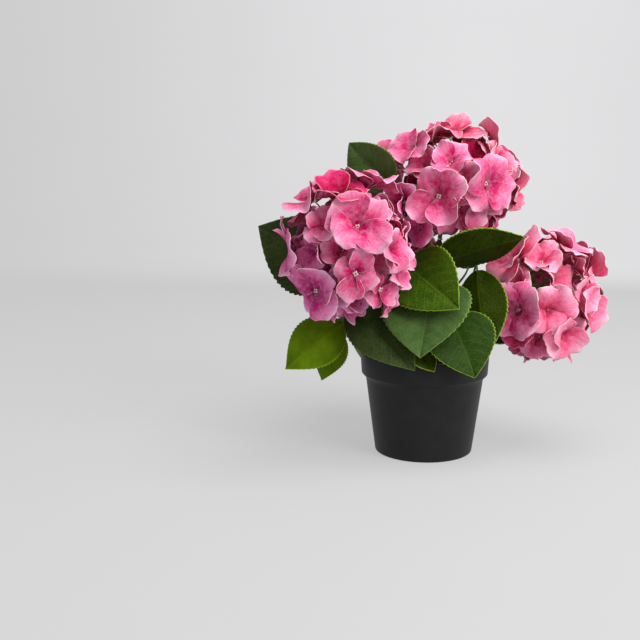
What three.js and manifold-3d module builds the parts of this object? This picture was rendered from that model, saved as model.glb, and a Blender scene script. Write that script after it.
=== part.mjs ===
// Potted artificial hydrangea: four mophead blooms and a skirt of broad leaves in a plain black pot.
// Millimetres, +Z up. The origin is the centre of the pot's flat underside, and -Y is the front.

import * as THREE from 'three';
import { mergeVertices } from 'three/addons/utils/BufferGeometryUtils.js';
import Module from 'manifold-3d';

const wasm = await Module();
wasm.setup();

// Clearance between neighbouring solids
const GAP = 0.3;

// Pot: a straight taper under a projecting lip, with a flat foot
const POT = {
  footRadius: 43.6,
  footRound: 2.0,
  bodyRadius: 54.8,
  ledge: 1,
  ledgeRadius: 56.0,
  lipFoot: 72.3,
  lipChamfer: 3.2,
  lipFootRadius: 58.8,
  rimRadius: 60,
  rimRound: 0.8,
  mouthRadius: 55.8,
  height: 94.7,
  wall: 1.8,
  floor: 2.4,
  sides: 48,
};

// Filling that weighs the pot down, a little domed at its top; `clear` keeps its facets off the wall
const FILL = { level: 76, dome: 4, clear: 0.7, shoulder: 0.6 };

// Short main stem that the limbs and leaf shoots leave from
const MAIN_STEM = { footRadius: 11, flare: 5, flareNeck: 0.8, radius: 8, topRadius: 7, top: 118, sides: 16 };

// Limbs from the main stem's top to the heads; `rise` is how far each keeps to its first and last heading
const BOUGH = { radius: 2.6, tipRadius: 2.0, offset: 4.2, aim: 8, rise: 26, sides: 8, steps: 7 };

// Flower heads: the middle of each, how far its ball is stretched along X, Y and Z, the side of the main stem
// that its limb starts on, and its facing florets. Those are given by heading and rise in degrees, the turn
// of the first petal, and level: 0 is outermost, 1 stands deeper and opens flatter. A bare patch is given
// by heading, rise and spread, and a neighbour of less weight leaves a head more room. The rule below fills in
// the other florets.
const HEADS = {
  left: {
    centre: [-66, -55, 197],
    stretch: [0.95, 1, 1.08],
    start: -140,
    seed: 11,
    facing: [
      [-78, 26, 48, 1], [-39, 3, 86, 0], [-55, -12, 52, 1],
      [-97, 4, 85, 0], [-116, 26, 51, 0], [-48, 42, 20, 0], [-10, 33, 25, 1],
    ],
    bare: [],
    weight: 1,
  },
  top: {
    centre: [18, 14, 244],
    stretch: [1.12, 1, 1],
    start: 40,
    seed: 10,
    facing: [
      [-98, -3, 30, 0], [-79, -16, 74, 1], [-78, 10, 48, 1], [-87, 34, 54, 0],
      [-121, -35, 48, 0], [-55, -29, 34, 0], [-55, 9, 63, 0], [-139, -9, 36, 0],
    ],
    bare: [[-170, 26, 21], [-150, -50, 22]],
    weight: 1.12,
  },
  right: {
    centre: [105, 16, 151],
    stretch: [0.88, 1, 1.07],
    start: -50,
    seed: 37,
    facing: [[-137, 40, 79, 1], [-130, 13, 36, 0], [-120, -14, 38, 1], [-95, 44, 54, 0], [-84, -14, 27, 1]],
    bare: [],
    weight: 1,
  },
  back: {
    centre: [-42, 74, 176],
    stretch: [1, 0.98, 1],
    start: 130,
    seed: 51,
    facing: [],
    bare: [],
    weight: 1,
  },
};

// What every head shares: the ball that its florets fill, the branching inside it, and in degrees
// how far round the florets go and how far apart they stand. `raise` turns facing florets that would look
// down back up.
const HEAD = {
  reach: 68,
  pipReach: 55,
  pipSpread: 3,
  stemReach: 46,
  hubReach: 16,
  rayReach: 20,
  rays: 6,
  rayFan: 78,
  limit: 124,
  spacing: 42,
  overlap: 30,
  candidates: 160,
  levelStep: 9,
  tilt: 12,
  raise: 0.8,
  planeGap: 1,
  depths: [0, 5, 10],
  sizes: [1, 0.85, 0.7],
};

// Floret: its petals' size, the angle they rise at, and where along a petal the points of its outline lie
const FLORET = {
  petal: 29,
  lengthSpread: 0.06,
  halfWidth: 16,
  widthSpread: 0.08,
  sizeSpread: 0.1,
  skew: 1.2,
  blunt: 0.75,
  thickness: 2.2,
  turnSpread: 5,
  lift: 12,
  liftSpread: 8,
  levelDrop: 8,
  pairStep: 7,
  curl: 0.2,
  curlSpread: 0.1,
  hollow: 3.6,
  hollowSpread: 2,
  seat: 0.12,
  notch: 0.42,
  shoulder: 0.55,
};

// Twigs inside a head: stem, rays and the stalks of the florets
const TWIG = { stem: 2.0, ray: 1.4, pedicel: 1.0, pedicelTip: 0.6, sides: 3 };

// Stem and leaf stalks of a leaf shoot, and how far each keeps to the heading that it starts or ends on
const SHOOT = {
  radius: 2.3,
  reach: 12,
  sides: 6,
  steps: 5,
  petiole: 1.6,
  petioleTip: 1.3,
  sag: 0.35,
  bends: 4,
};

// Leaf blades: thickness at the rib, how far the halves fold from it, and how far along it the stalk is sunk
const LEAF = { thickness: 1.3, fold: 0.16, skew: 0.8, blunt: 0.75, stations: 6, sunk: 0.08 };

// Leaf shoots: where each leaves the main stem, the node where its leaf stalks part, and its leaves.
// A leaf is given by the two ends of its blade, the way its halves fold, its width and its arch.
const SHOOTS = {
  front: {
    heading: -90,
    height: 104,
    node: [-2, -25, 131],
    leaves: [
      { root: [-20, -12, 178], tip: [29, -72, 147], face: [-0.43, -0.73, 0.56], width: 62, arch: 6 },
      { root: [10, -20, 161], tip: [-4, -76, 104], face: [-0.25, -0.6, 0.75], width: 80, arch: 8 },
      { root: [20, -34, 136], tip: [44, -70, 86], face: [0.1, -0.85, 0.5], width: 62, arch: 6 },
      { root: [-67, -22, 140], tip: [-8, -68, 91], face: [-0.25, -0.6, 0.75], width: 52, arch: 6 },
      { root: [-11, -46, 112], tip: [9, -66, 90], face: [-0.2, -0.6, 0.75], width: 26, arch: 2 },
    ],
  },
  left: {
    heading: 180,
    height: 104,
    node: [-48, 4, 130],
    leaves: [
      { root: [-80, 24, 164], tip: [-155, -8, 211], face: [-0.2, -0.95, 0.2], width: 76, arch: 4 },
      { root: [-75, -22, 125], tip: [-126, -38, 83], face: [0, 0.85, -0.5], width: 48, arch: -8 },
      { root: [-81, -4, 114], tip: [-95, -16, 68], face: [0.2, 0.9, -0.3], width: 32, arch: -3 },
      { root: [-72, 14, 118], tip: [-56, 44, 72], face: [0.7, 0.5, -0.5], width: 44, arch: -4 },
    ],
  },
  right: {
    heading: 0,
    height: 104,
    node: [36, -8, 119],
    leaves: [
      { root: [46, -15, 174], tip: [57, -47, 103], face: [0.4, 0.85, -0.35], width: 47, arch: -5 },
      { root: [43, -6, 113], tip: [80, 18, 103], face: [0, -0.5, 0.85], width: 36, arch: 4 },
    ],
  },
  top: {
    heading: -45,
    height: 112,
    node: [12, -8, 178],
    leaves: [
      { root: [-32, -2, 248], tip: [-72, 1, 287], face: [-0.35, -0.93, -0.18], width: 48, arch: 3 },
      { root: [10, -15, 179], tip: [85, -43, 207], face: [-0.28, 0.8, 0.53], width: 48, arch: 2 },
    ],
  },
  back: {
    heading: 90,
    height: 106,
    node: [2, 30, 130],
    leaves: [
      { root: [-34, 42, 112], tip: [-92, 84, 94], face: [-0.3, 0.4, 0.85], width: 54, arch: 7 },
      { root: [-8, 46, 104], tip: [-14, 116, 84], face: [0, 0.35, 0.93], width: 60, arch: 8 },
      { root: [30, 42, 120], tip: [74, 96, 100], face: [0.3, 0.4, 0.85], width: 66, arch: 8 },
      { root: [40, 54, 165], tip: [66, 112, 190], face: [0.2, 0.6, 0.7], width: 58, arch: 6 },
    ],
  },
};

const MATERIALS = {
  pot: new THREE.MeshStandardMaterial({ color: '#232325', roughness: 0.55 }),
  fill: new THREE.MeshStandardMaterial({ color: '#3a322b', roughness: 0.95 }),
  stem: new THREE.MeshStandardMaterial({ color: '#4a6b25', roughness: 0.6 }),
  leaf: new THREE.MeshStandardMaterial({ color: '#2f5a24', roughness: 0.5, side: THREE.DoubleSide }),
  petal: new THREE.MeshStandardMaterial({ color: '#d9588f', roughness: 0.7, side: THREE.DoubleSide }),
};

const vec = (p) => new THREE.Vector3(...p);
const radians = THREE.MathUtils.degToRad;
const lerp = THREE.MathUtils.lerp;

// Repeatable random numbers from 0 to 1
function seeded(seed) {
  let state = seed >>> 0;
  return () => {
    state = (Math.imul(state, 1664525) + 1013904223) >>> 0;
    return state / 2 ** 32;
  };
}

// Random number within `spread` of a middle value
const vary = (draw, middle, spread) => middle + spread * (2 * draw() - 1);

// Unit vector at a heading from +X about +Z and a rise from the level, both in degrees
function direction(heading, rise) {
  const level = Math.cos(radians(rise));
  return new THREE.Vector3(
    level * Math.cos(radians(heading)), level * Math.sin(radians(heading)), Math.sin(radians(rise)));
}

// Closed solid from a geometry, by position alone
function toSolid(geometry) {
  geometry.deleteAttribute('normal');
  geometry.deleteAttribute('uv');
  const merged = mergeVertices(geometry);
  return new wasm.Manifold(new wasm.Mesh({
    numProp: 3,
    vertProperties: Float32Array.from(merged.attributes.position.array),
    triVerts: Uint32Array.from(merged.index.array),
  }));
}

// Geometry of a finished solid
function toGeometry(solid) {
  const { vertProperties, triVerts } = solid.getMesh();
  const geometry = new THREE.BufferGeometry();
  geometry.setAttribute('position', new THREE.BufferAttribute(Float32Array.from(vertProperties), 3));
  geometry.setIndex(new THREE.BufferAttribute(Uint32Array.from(triVerts), 1));
  geometry.computeVertexNormals();
  return geometry;
}

// Joins solids into one and fills any hollow that the joining has sealed
function fuse(solids) {
  const whole = solids.reduce((sum, solid) => sum.add(solid));
  return whole.decompose().filter((shell) => shell.volume() > 0).reduce((sum, shell) => sum.add(shell));
}

// Moves each point of a geometry to where shape(point) puts it
function reshape(geometry, shape) {
  const position = geometry.attributes.position;
  const point = new THREE.Vector3();
  for (let i = 0; i < position.count; i += 1) {
    point.fromBufferAttribute(position, i);
    position.setXYZ(i, ...shape(point).toArray());
  }
  return geometry;
}

// Solid of revolution about Z from a closed profile of [radius, height] points
function turned(profile, sides) {
  const geometry = new THREE.LatheGeometry(profile.map(([r, z]) => new THREE.Vector2(r, z)), sides);
  return geometry.rotateX(Math.PI / 2);
}

// Limb along a curve that tapers from one radius to another
function limb(curve, startRadius, endRadius, sides, steps) {
  const frames = curve.computeFrenetFrames(steps, false);
  return reshape(new THREE.CylinderGeometry(1, 1, 1, sides, steps), (p) => {
    const along = 0.5 - p.y;
    const step = Math.round(along * steps);
    const radius = lerp(startRadius, endRadius, along);
    return curve.getPointAt(along)
      .addScaledVector(frames.normals[step], p.x * radius)
      .addScaledVector(frames.binormals[step], p.z * radius);
  });
}

// Straight three-sided twig
function twig(start, end, startRadius, endRadius) {
  return toSolid(limb(new THREE.LineCurve3(start, end), startRadius, endRadius, TWIG.sides, 1));
}

// Half the width of a petal or leaf as a share of its widest: 0 at the root and the tip
const outline = (kind, u) => Math.pow(Math.sin(Math.PI * Math.pow(u, kind.skew)), kind.blunt);

// Inner radius of the pot at a height
function innerRadius(height) {
  return lerp(POT.footRadius - POT.wall, POT.mouthRadius, (height - POT.floor) / (POT.height - POT.floor));
}

// Height of the filling's surface at a radius
const fillTop = (radius) => FILL.level + FILL.dome * (1 - (radius / innerRadius(FILL.level)) ** 2);

// Radius of the main stem above its flare
function stemRadius(height) {
  const neck = fillTop(0) + GAP + MAIN_STEM.flare;
  return lerp(MAIN_STEM.radius, MAIN_STEM.topRadius, (height - neck) / (MAIN_STEM.top - neck));
}

// A head with its middle, the way it looks, two ways across that, and the point where its limb ends
function plannedHead(head) {
  const middle = vec(head.centre);
  const axis = middle.clone().sub(new THREE.Vector3(0, 0, MAIN_STEM.top - BOUGH.aim)).normalize();
  const side = new THREE.Vector3(0, 1, 0).cross(axis).normalize();
  return {
    ...head,
    middle,
    axis,
    side,
    front: axis.clone().cross(side),
    shape: vec(head.stretch),
    foot: middle.clone().addScaledVector(axis, -HEAD.stemReach),
  };
}

const heads = Object.entries(HEADS).map(([name, head]) => plannedHead({ name, ...head }));

// Unit vector at an angle from a head's axis and a turn about it, both in radians
function aroundAxis(head, angle, turn) {
  return head.axis.clone().multiplyScalar(Math.cos(angle))
    .addScaledVector(head.side, Math.sin(angle) * Math.cos(turn))
    .addScaledVector(head.front, Math.sin(angle) * Math.sin(turn));
}

// Point of a petal: u runs from the pip to the tip, v across from edge to edge
function petalPoint(petal, u, v) {
  const rise = Math.tan(radians(petal.lift)) * u - petal.curl * u * u;
  const height = petal.length * rise + petal.hollow * v * v * Math.sin(Math.PI * u);
  return petal.pip.clone()
    .addScaledVector(petal.outward, petal.length * u)
    .addScaledVector(petal.sideways, petal.halfWidth * outline(FLORET, u) * v)
    .addScaledVector(petal.normal, height);
}

// The four petals of a floret as sizes and directions
function petalsOf(floret) {
  const draw = seeded(floret.seed);
  const up = new THREE.Vector3(0, 0, 1).addScaledVector(floret.normal, -floret.normal.z).normalize();
  const right = up.clone().cross(floret.normal);
  const size = floret.size * vary(draw, 1, FLORET.sizeSpread);
  const open = vary(draw, FLORET.lift - floret.level * FLORET.levelDrop, FLORET.liftSpread);
  return [0, 1, 2, 3].map((quarter) => {
    const angle = radians(vary(draw, floret.spin + 90 * quarter, FLORET.turnSpread));
    const outward = right.clone().multiplyScalar(Math.cos(angle)).addScaledVector(up, Math.sin(angle));
    return {
      pip: floret.pip,
      normal: floret.normal,
      outward,
      sideways: floret.normal.clone().cross(outward),
      length: FLORET.petal * size * vary(draw, 1, FLORET.lengthSpread),
      halfWidth: FLORET.halfWidth * size * vary(draw, 1, FLORET.widthSpread),
      lift: open + (quarter % 2) * FLORET.pairStep,
      curl: vary(draw, FLORET.curl, FLORET.curlSpread),
      hollow: vary(draw, FLORET.hollow, FLORET.hollowSpread),
    };
  });
}

// Rim of a floret: a notch before each petal, then the petal's shoulder, tip and other shoulder
function floretRim(petals) {
  return petals.flatMap((petal, i) => {
    const before = petals[(i + 3) % 4];
    const notch = petalPoint(petal, FLORET.notch, 0).lerp(petalPoint(before, FLORET.notch, 0), 0.5);
    const shoulders = [-1, 1].map((edge) => petalPoint(petal, FLORET.shoulder, edge));
    return [notch, shoulders[0], petalPoint(petal, 1, 0), shoulders[1]];
  });
}

// Floret solid: a thin cup whose rim runs round all four petals, thickest at the pip
function floretSolid(floret) {
  const rim = floret.rim;
  return toSolid(reshape(new THREE.SphereGeometry(1, rim.length, 2), (p) => {
    if (Math.abs(p.y) > 0.5) {
      return floret.pip.clone().addScaledVector(floret.normal, Math.sign(p.y) * FLORET.thickness / 2);
    }
    const share = (Math.atan2(p.z, -p.x) / (2 * Math.PI) + 1) % 1;
    return rim[Math.round(share * rim.length) % rim.length].clone();
  }));
}

// Headings for a head's florets: the facing ones, then a spiral that keeps its distance from them
function floretDirections(head) {
  const chosen = head.facing.map(([heading, rise, spin, level]) => (
    { way: direction(heading, rise), spin, level }));
  const bare = head.bare.map(([heading, rise, spread]) => ({ way: direction(heading, rise), spread }));
  const draw = seeded(head.seed);
  for (let i = 0; i < HEAD.candidates; i += 1) {
    const drop = (1 - Math.cos(radians(HEAD.limit))) * (i + 0.5) / HEAD.candidates;
    const way = aroundAxis(head, Math.acos(1 - drop), i * Math.PI * (3 - Math.sqrt(5)) + head.seed);
    const spin = 90 * draw();
    const open = bare.every((patch) => way.angleTo(patch.way) > radians(patch.spread));
    const clear = chosen.every((other) => (
      way.angleTo(other.way) > radians(other.level === 0 ? HEAD.spacing : HEAD.overlap)));
    if (open && clear) {
      chosen.push({ way, spin, level: 0 });
    }
  }
  return chosen;
}

// True where a point lies in a head's own space: inside its stretched ball, on its side of each neighbour
function inOwnSpace(head, point) {
  const offset = point.clone().sub(head.middle);
  const inBall = offset.clone().divide(head.shape).length() < HEAD.reach;
  return inBall && heads.filter((other) => other !== head).every((other) => {
    const across = other.middle.clone().sub(head.middle);
    const share = head.weight / (head.weight + other.weight);
    return offset.dot(across) < across.length() * (across.length() * share - HEAD.planeGap);
  });
}

// Floret of a head at a share of its full size, on a stalk that stops short of the full reach by `inward`
function floretAt(head, { way, spin, level }, index, { size, inward }) {
  const draw = seeded(head.seed * 1000 + index);
  const isFacing = index < head.facing.length;
  const lean = new THREE.Vector3(vary(draw, 0, 1), vary(draw, 0, 1), vary(draw, 0, 1))
    .multiplyScalar(isFacing ? 0 : Math.tan(radians(HEAD.tilt)));
  lean.z -= isFacing ? HEAD.raise * Math.min(way.z, 0) : 0;
  const depth = inward + level * HEAD.levelStep + (isFacing ? 0 : HEAD.pipSpread * draw());
  const floret = {
    way,
    spin,
    level,
    size,
    seed: head.seed * 100 + index,
    normal: way.clone().divide(head.shape).add(lean).normalize(),
    pip: way.clone().multiply(head.shape).multiplyScalar(HEAD.pipReach - depth).add(head.middle),
  };
  return { ...floret, rim: floretRim(petalsOf(floret)) };
}

// Florets of a head: each is drawn in by steps, and then made smaller, where a petal would leave the head's
// space, or else skipped
function floretsOf(head) {
  const hasRoom = (floret) => floret.rim.every((point) => inOwnSpace(head, point));
  return floretDirections(head).flatMap((heading, index) => {
    const tries = HEAD.sizes.flatMap((size) => HEAD.depths.map((inward) => ({ size, inward })));
    return tries.map((fit) => floretAt(head, heading, index, fit)).filter(hasRoom).slice(0, 1);
  });
}

// Rays that the head's stem splits into: one straight on, the others fanned round it
function raysOf(head) {
  return Array.from({ length: HEAD.rays }, (_, i) => (
    aroundAxis(head, i === 0 ? 0 : radians(HEAD.rayFan), 2 * Math.PI * i / (HEAD.rays - 1) + head.seed)));
}

// A flower head: stem, rays, and each floret on its stalk, fused into one solid
function bloom(head) {
  const hub = head.middle.clone().addScaledVector(head.axis, -HEAD.hubReach);
  const base = head.foot.clone().addScaledVector(head.axis, GAP);
  const rays = raysOf(head);
  const rayEnd = (ray) => head.middle.clone().addScaledVector(ray, HEAD.rayReach);
  const solids = [twig(base, hub.clone().addScaledVector(head.axis, TWIG.stem), TWIG.stem, TWIG.stem)];
  rays.forEach((ray) => solids.push(twig(hub, rayEnd(ray), TWIG.ray, TWIG.ray)));
  floretsOf(head).forEach((floret) => {
    const ray = rays.reduce((best, way) => (way.angleTo(floret.way) < best.angleTo(floret.way) ? way : best));
    const start = rayEnd(ray).addScaledVector(floret.way, -TWIG.ray);
    const firstTip = floret.rim[2];
    const end = floret.pip.clone().lerp(firstTip, FLORET.seat);
    solids.push(twig(start, end, TWIG.pedicel, TWIG.pedicelTip), floretSolid(floret));
  });
  return toGeometry(fuse(solids));
}

// Rib of a leaf: an arched curve from the root to the tip, with the way the blade's halves fold
function ribOf(leaf) {
  const root = vec(leaf.root);
  const tip = vec(leaf.tip);
  const along = tip.clone().sub(root).normalize();
  const face = vec(leaf.face);
  face.addScaledVector(along, -face.dot(along)).normalize();
  const crest = root.clone().lerp(tip, 0.5).addScaledVector(face, 2 * leaf.arch);
  return { curve: new THREE.QuadraticBezierCurve3(root, crest, tip), face };
}

// Leaf blade: a thin ball of four sides and several stations, whose poles are the root and the tip
function leafSolid(leaf) {
  const { curve, face } = ribOf(leaf);
  return toSolid(reshape(new THREE.SphereGeometry(1, 4, LEAF.stations), (p) => {
    const u = Math.acos(THREE.MathUtils.clamp(p.y, -1, 1)) / Math.PI;
    const spread = Math.sqrt(Math.max(1 - p.y * p.y, 0));
    const onPole = spread < 1e-5;
    const across = onPole ? 0 : Math.round(p.x / spread);
    const through = onPole ? 0 : Math.round(p.z / spread);
    const tangent = curve.getTangent(u);
    const up = face.clone().addScaledVector(tangent, -face.dot(tangent)).normalize();
    const half = outline(LEAF, u) * leaf.width / 2;
    return curve.getPoint(u)
      .addScaledVector(up.clone().cross(tangent), across * half)
      .addScaledVector(up, Math.abs(across) * half * LEAF.fold + through * LEAF.thickness / 2);
  }));
}

// Stalk from a shoot's node to a leaf, sunk into the blade's rib
function petiole(node, leaf) {
  const { curve } = ribOf(leaf);
  const root = curve.getPoint(0);
  const bend = root.clone().addScaledVector(curve.getTangent(0), -SHOOT.sag * root.distanceTo(node));
  const stalk = new THREE.QuadraticBezierCurve3(node.clone(), bend, curve.getPoint(LEAF.sunk));
  return toSolid(limb(stalk, SHOOT.petiole, SHOOT.petioleTip, TWIG.sides, SHOOT.bends));
}

// A leaf shoot: stem from the side of the main stem to the node, stalks and blades, fused into one solid
function leafShoot(shoot) {
  const out = direction(shoot.heading, 0);
  const start = out.clone().multiplyScalar(stemRadius(shoot.height) + GAP).setZ(shoot.height);
  const bend = start.clone().addScaledVector(out, SHOOT.reach);
  const node = vec(shoot.node);
  const past = node.clone().addScaledVector(node.clone().sub(bend).normalize(), SHOOT.petiole);
  const curve = new THREE.QuadraticBezierCurve3(start, bend, past);
  const solids = [toSolid(limb(curve, SHOOT.radius, SHOOT.petiole, SHOOT.sides, SHOOT.steps))];
  shoot.leaves.forEach((leaf) => solids.push(petiole(node, leaf), leafSolid(leaf)));
  return toGeometry(fuse(solids));
}

// Pot: floor and tapered wall, a rounded foot, and a lip that stands out over a narrow ledge
function pot() {
  const footCorner = [-90, -45, 0].map((degrees) => [
    POT.footRadius + POT.footRound * Math.cos(radians(degrees)),
    POT.footRound * (1 + Math.sin(radians(degrees))),
  ]);
  return turned([
    [0, 0],
    ...footCorner,
    [POT.bodyRadius, POT.lipFoot - POT.ledge],
    [POT.ledgeRadius, POT.lipFoot],
    [POT.lipFootRadius, POT.lipFoot + POT.lipChamfer],
    [POT.rimRadius, POT.height - POT.rimRound],
    [POT.rimRadius - POT.rimRound, POT.height],
    [innerRadius(POT.height), POT.height],
    [innerRadius(POT.floor), POT.floor],
    [0, POT.floor],
  ], POT.sides);
}

// Filling from just above the floor up to its domed top, level under the main stem's foot
function fill() {
  const foot = POT.floor + GAP;
  const edge = innerRadius(FILL.level) - FILL.clear;
  const seat = MAIN_STEM.footRadius + 1;
  return turned([
    [0, foot],
    [innerRadius(foot) - FILL.clear, foot],
    [edge, fillTop(edge)],
    [edge * FILL.shoulder, fillTop(edge * FILL.shoulder)],
    [seat, fillTop(0)],
    [0, fillTop(0)],
  ], POT.sides);
}

// Main stem: a flared foot on the filling, a slight taper and a flat cut top
function mainStem() {
  const foot = fillTop(0) + GAP;
  return turned([
    [0, foot],
    [MAIN_STEM.footRadius, foot],
    [MAIN_STEM.radius + MAIN_STEM.flareNeck, foot + MAIN_STEM.flare / 2],
    [MAIN_STEM.radius, foot + MAIN_STEM.flare],
    [MAIN_STEM.topRadius, MAIN_STEM.top],
    [0, MAIN_STEM.top],
  ], MAIN_STEM.sides);
}

// One tapering limb from the main stem's top to the foot of a head's own stem
function bough(head) {
  const start = direction(head.start, 0).multiplyScalar(BOUGH.offset).setZ(MAIN_STEM.top + GAP);
  const above = start.clone().setZ(start.z + BOUGH.rise * lerp(0.4, 1, head.axis.z));
  const before = head.foot.clone().addScaledVector(head.axis, -BOUGH.rise);
  const curve = new THREE.CubicBezierCurve3(start, above, before, head.foot);
  return limb(curve, BOUGH.radius, BOUGH.tipRadius, BOUGH.sides, BOUGH.steps);
}

// Puts a named mesh with its own finish into the group
function place(group, name, geometry, material) {
  const mesh = new THREE.Mesh(geometry, material.clone());
  mesh.name = name;
  group.add(mesh);
}

const plant = new THREE.Group();
place(plant, 'pot', pot(), MATERIALS.pot);
place(plant, 'potting_fill', fill(), MATERIALS.fill);
place(plant, 'main_stem', mainStem(), MATERIALS.stem);
heads.forEach((head) => {
  place(plant, `bough_${head.name}`, bough(head), MATERIALS.stem);
  place(plant, `bloom_${head.name}`, bloom(head), MATERIALS.petal);
});
Object.entries(SHOOTS).forEach(([name, shoot]) => {
  place(plant, `leaves_${name}`, leafShoot(shoot), MATERIALS.leaf);
});

export default plant;
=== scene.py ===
"""Potted artificial hydrangea: four mophead blooms and a skirt of broad leaves in a plain dark pot.

The shapes follow the rule that the solids follow, in millimetres in the same frame, and are finer:
each floret has four ruffled petals, each leaf its teeth and veins, and the stalks are round.
"""

import logging
import math
from dataclasses import dataclass, field
from enum import Enum
from typing import Iterator, Sequence

import bpy
import numpy as np
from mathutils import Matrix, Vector
from mathutils.bvhtree import BVHTree

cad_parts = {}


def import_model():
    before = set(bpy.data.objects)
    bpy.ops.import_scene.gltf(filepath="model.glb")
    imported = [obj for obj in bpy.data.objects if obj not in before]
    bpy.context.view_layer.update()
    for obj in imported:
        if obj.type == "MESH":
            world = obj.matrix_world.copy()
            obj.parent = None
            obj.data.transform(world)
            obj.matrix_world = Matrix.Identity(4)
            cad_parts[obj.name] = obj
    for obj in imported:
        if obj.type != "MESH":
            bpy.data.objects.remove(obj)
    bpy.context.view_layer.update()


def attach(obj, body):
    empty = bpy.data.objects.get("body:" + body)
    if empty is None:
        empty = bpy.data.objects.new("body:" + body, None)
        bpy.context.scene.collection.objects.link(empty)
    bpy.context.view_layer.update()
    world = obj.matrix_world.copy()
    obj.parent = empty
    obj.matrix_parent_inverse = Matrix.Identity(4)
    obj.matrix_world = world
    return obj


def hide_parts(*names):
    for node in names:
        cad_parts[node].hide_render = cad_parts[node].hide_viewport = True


MM = 0.001
UP = np.array([0.0, 0.0, 1.0])

# Clearance between neighbouring pieces, and how far florets that would look down are turned up again
GAP = 0.3
UPLIFT = 0.8

# Texture maps, and the millimetres in one unit of those for the edges and the patterns
BAKE_MAP = "OFBake"
SHAPE_MAP = "Shape"
PATTERN_MAP = "Pattern"
VEIN_MAP = "Vein"
RAY_MAP = "Ray"
EDGE_SPAN = 16
PATTERN_SPAN = 30
MAP_SHIFT = 40

# The colour mixer's two inputs and its output
MIX_FROM, MIX_TO, MIX_RESULT = 6, 7, 2

Colour = tuple[float, float, float]
Triple = tuple[float, float, float]
Cell = tuple[float, float, float]
Socket = bpy.types.NodeSocket
log = logging.getLogger("hydrangea")


class PetalHue(Enum):
    """The florets' pinks; the blush paints light on the right head and the raspberry shade deep in a head.
    """

    ROSE = 0
    SALMON = 1
    ORCHID = 2
    RASPBERRY = 3
    BLUSH = 4


class LeafHue(Enum):
    """The greens that the leaves are given; the lime is an underside with painted backlight, the olive one
    in painted shade.
    """

    DARK = 0
    GREY = 1
    RICH = 2
    BRIGHT = 3
    OLIVE = 4
    LIME = 5


class Draw:
    """Repeatable random numbers, the same row as the solids' own for the same seed."""

    def __init__(self, seed: int) -> None:
        """Starts the row at a seed."""
        self.state = seed & 0xFFFFFFFF

    def share(self) -> float:
        """Returns the next number from 0 to 1."""
        self.state = (self.state * 1664525 + 1013904223) & 0xFFFFFFFF
        return self.state / 2**32

    def vary(self, middle: float, spread: float) -> float:
        """Returns the next number within `spread` of a middle value."""
        return middle + spread * (2 * self.share() - 1)


def unit(vector: np.ndarray) -> np.ndarray:
    """Returns the vector at length 1."""
    return vector / np.linalg.norm(vector)


def direction(heading: float, rise: float) -> np.ndarray:
    """Unit vector from two angles.

    Args:
        heading: degrees from +X about +Z.
        rise: degrees up from the level.

    Returns:
        The vector.
    """
    level = math.cos(math.radians(rise))
    turn = math.radians(heading)
    return np.array([level * math.cos(turn), level * math.sin(turn), math.sin(math.radians(rise))])


def angle_between(a: np.ndarray, b: np.ndarray) -> float:
    """Returns the angle between two unit vectors in degrees."""
    return math.degrees(math.acos(max(-1.0, min(1.0, float(a @ b)))))


def outline(u: np.ndarray, skew: float, blunt: np.ndarray | float) -> np.ndarray:
    """Returns shares of the half width at u from 0 to 1, widest past the middle where skew is over 1."""
    return np.sin(np.pi * np.clip(u, 0, 1) ** skew) ** blunt


def bezier(corners: Sequence[np.ndarray], steps: int) -> np.ndarray:
    """Points along a quadratic or cubic curve.

    Args:
        corners: its three or four control points.
        steps: how many stretches to cut it into.

    Returns:
        An array of steps + 1 points.
    """
    t = np.linspace(0, 1, steps + 1)[:, None]
    degree = len(corners) - 1
    weights = [math.comb(degree, i) * t**i * (1 - t) ** (degree - i) for i in range(degree + 1)]
    return sum(weight * corner for weight, corner in zip(weights, corners))


class MeshBatch:
    """Gathers strips and grids of points into one mesh with material slots and texture maps."""

    def __init__(self, name: str) -> None:
        """Starts an empty batch.

        Args:
            name: the name of the piece that it makes.
        """
        self.name = name
        self.points: list[np.ndarray] = []
        self.corners: list[np.ndarray] = []
        self.slots: list[np.ndarray] = []
        self.maps: dict[str, list[np.ndarray]] = {}
        self.count = 0

    def add(self, points: np.ndarray, quads: np.ndarray, slots: np.ndarray | int = 0,
            maps: dict[str, np.ndarray] | None = None) -> None:
        """Adds a closed form of quads; a quad that repeats a corner is a triangle.

        Args:
            points: its points in millimetres.
            quads: indices of each face's corners, four to a row.
            slots: material slot of each face, or one for all.
            maps: texture places by map name, a pair for each corner of each face.
        """
        self.points.append(points)
        self.corners.append(quads + self.count)
        self.slots.append(np.broadcast_to(np.asarray(slots), (len(quads),)))
        for name, places in (maps or {}).items():
            self.maps.setdefault(name, []).append(places.reshape(-1, 2))
        self.count += len(points)

    def piece(self, materials: Sequence[bpy.types.Material]) -> bpy.types.Object:
        """Makes the mesh object.

        Args:
            materials: what each material slot wears.

        Returns:
            The new object, linked into the scene.
        """
        points = np.concatenate(self.points) * MM
        quads = np.concatenate(self.corners)
        mesh = bpy.data.meshes.new(self.name)
        mesh.vertices.add(len(points))
        mesh.vertices.foreach_set("co", points.astype(np.float32).ravel())
        mesh.loops.add(quads.size)
        mesh.loops.foreach_set("vertex_index", quads.astype(np.int32).ravel())
        mesh.polygons.add(len(quads))
        mesh.polygons.foreach_set("loop_start", np.arange(0, quads.size, 4, dtype=np.int32))
        mesh.polygons.foreach_set("material_index", np.concatenate(self.slots).astype(np.int32))
        mesh.polygons.foreach_set("use_smooth", np.full(len(quads), True))
        for name, places in self.maps.items():
            layer = mesh.uv_layers.new(name=name)
            layer.uv.foreach_set("vector", np.concatenate(places).astype(np.float32).ravel())
        for material in materials:
            mesh.materials.append(material)
        mesh.update(calc_edges=True)
        mesh.validate()
        piece = bpy.data.objects.new(self.name, mesh)
        bpy.context.collection.objects.link(piece)
        return piece


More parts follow.
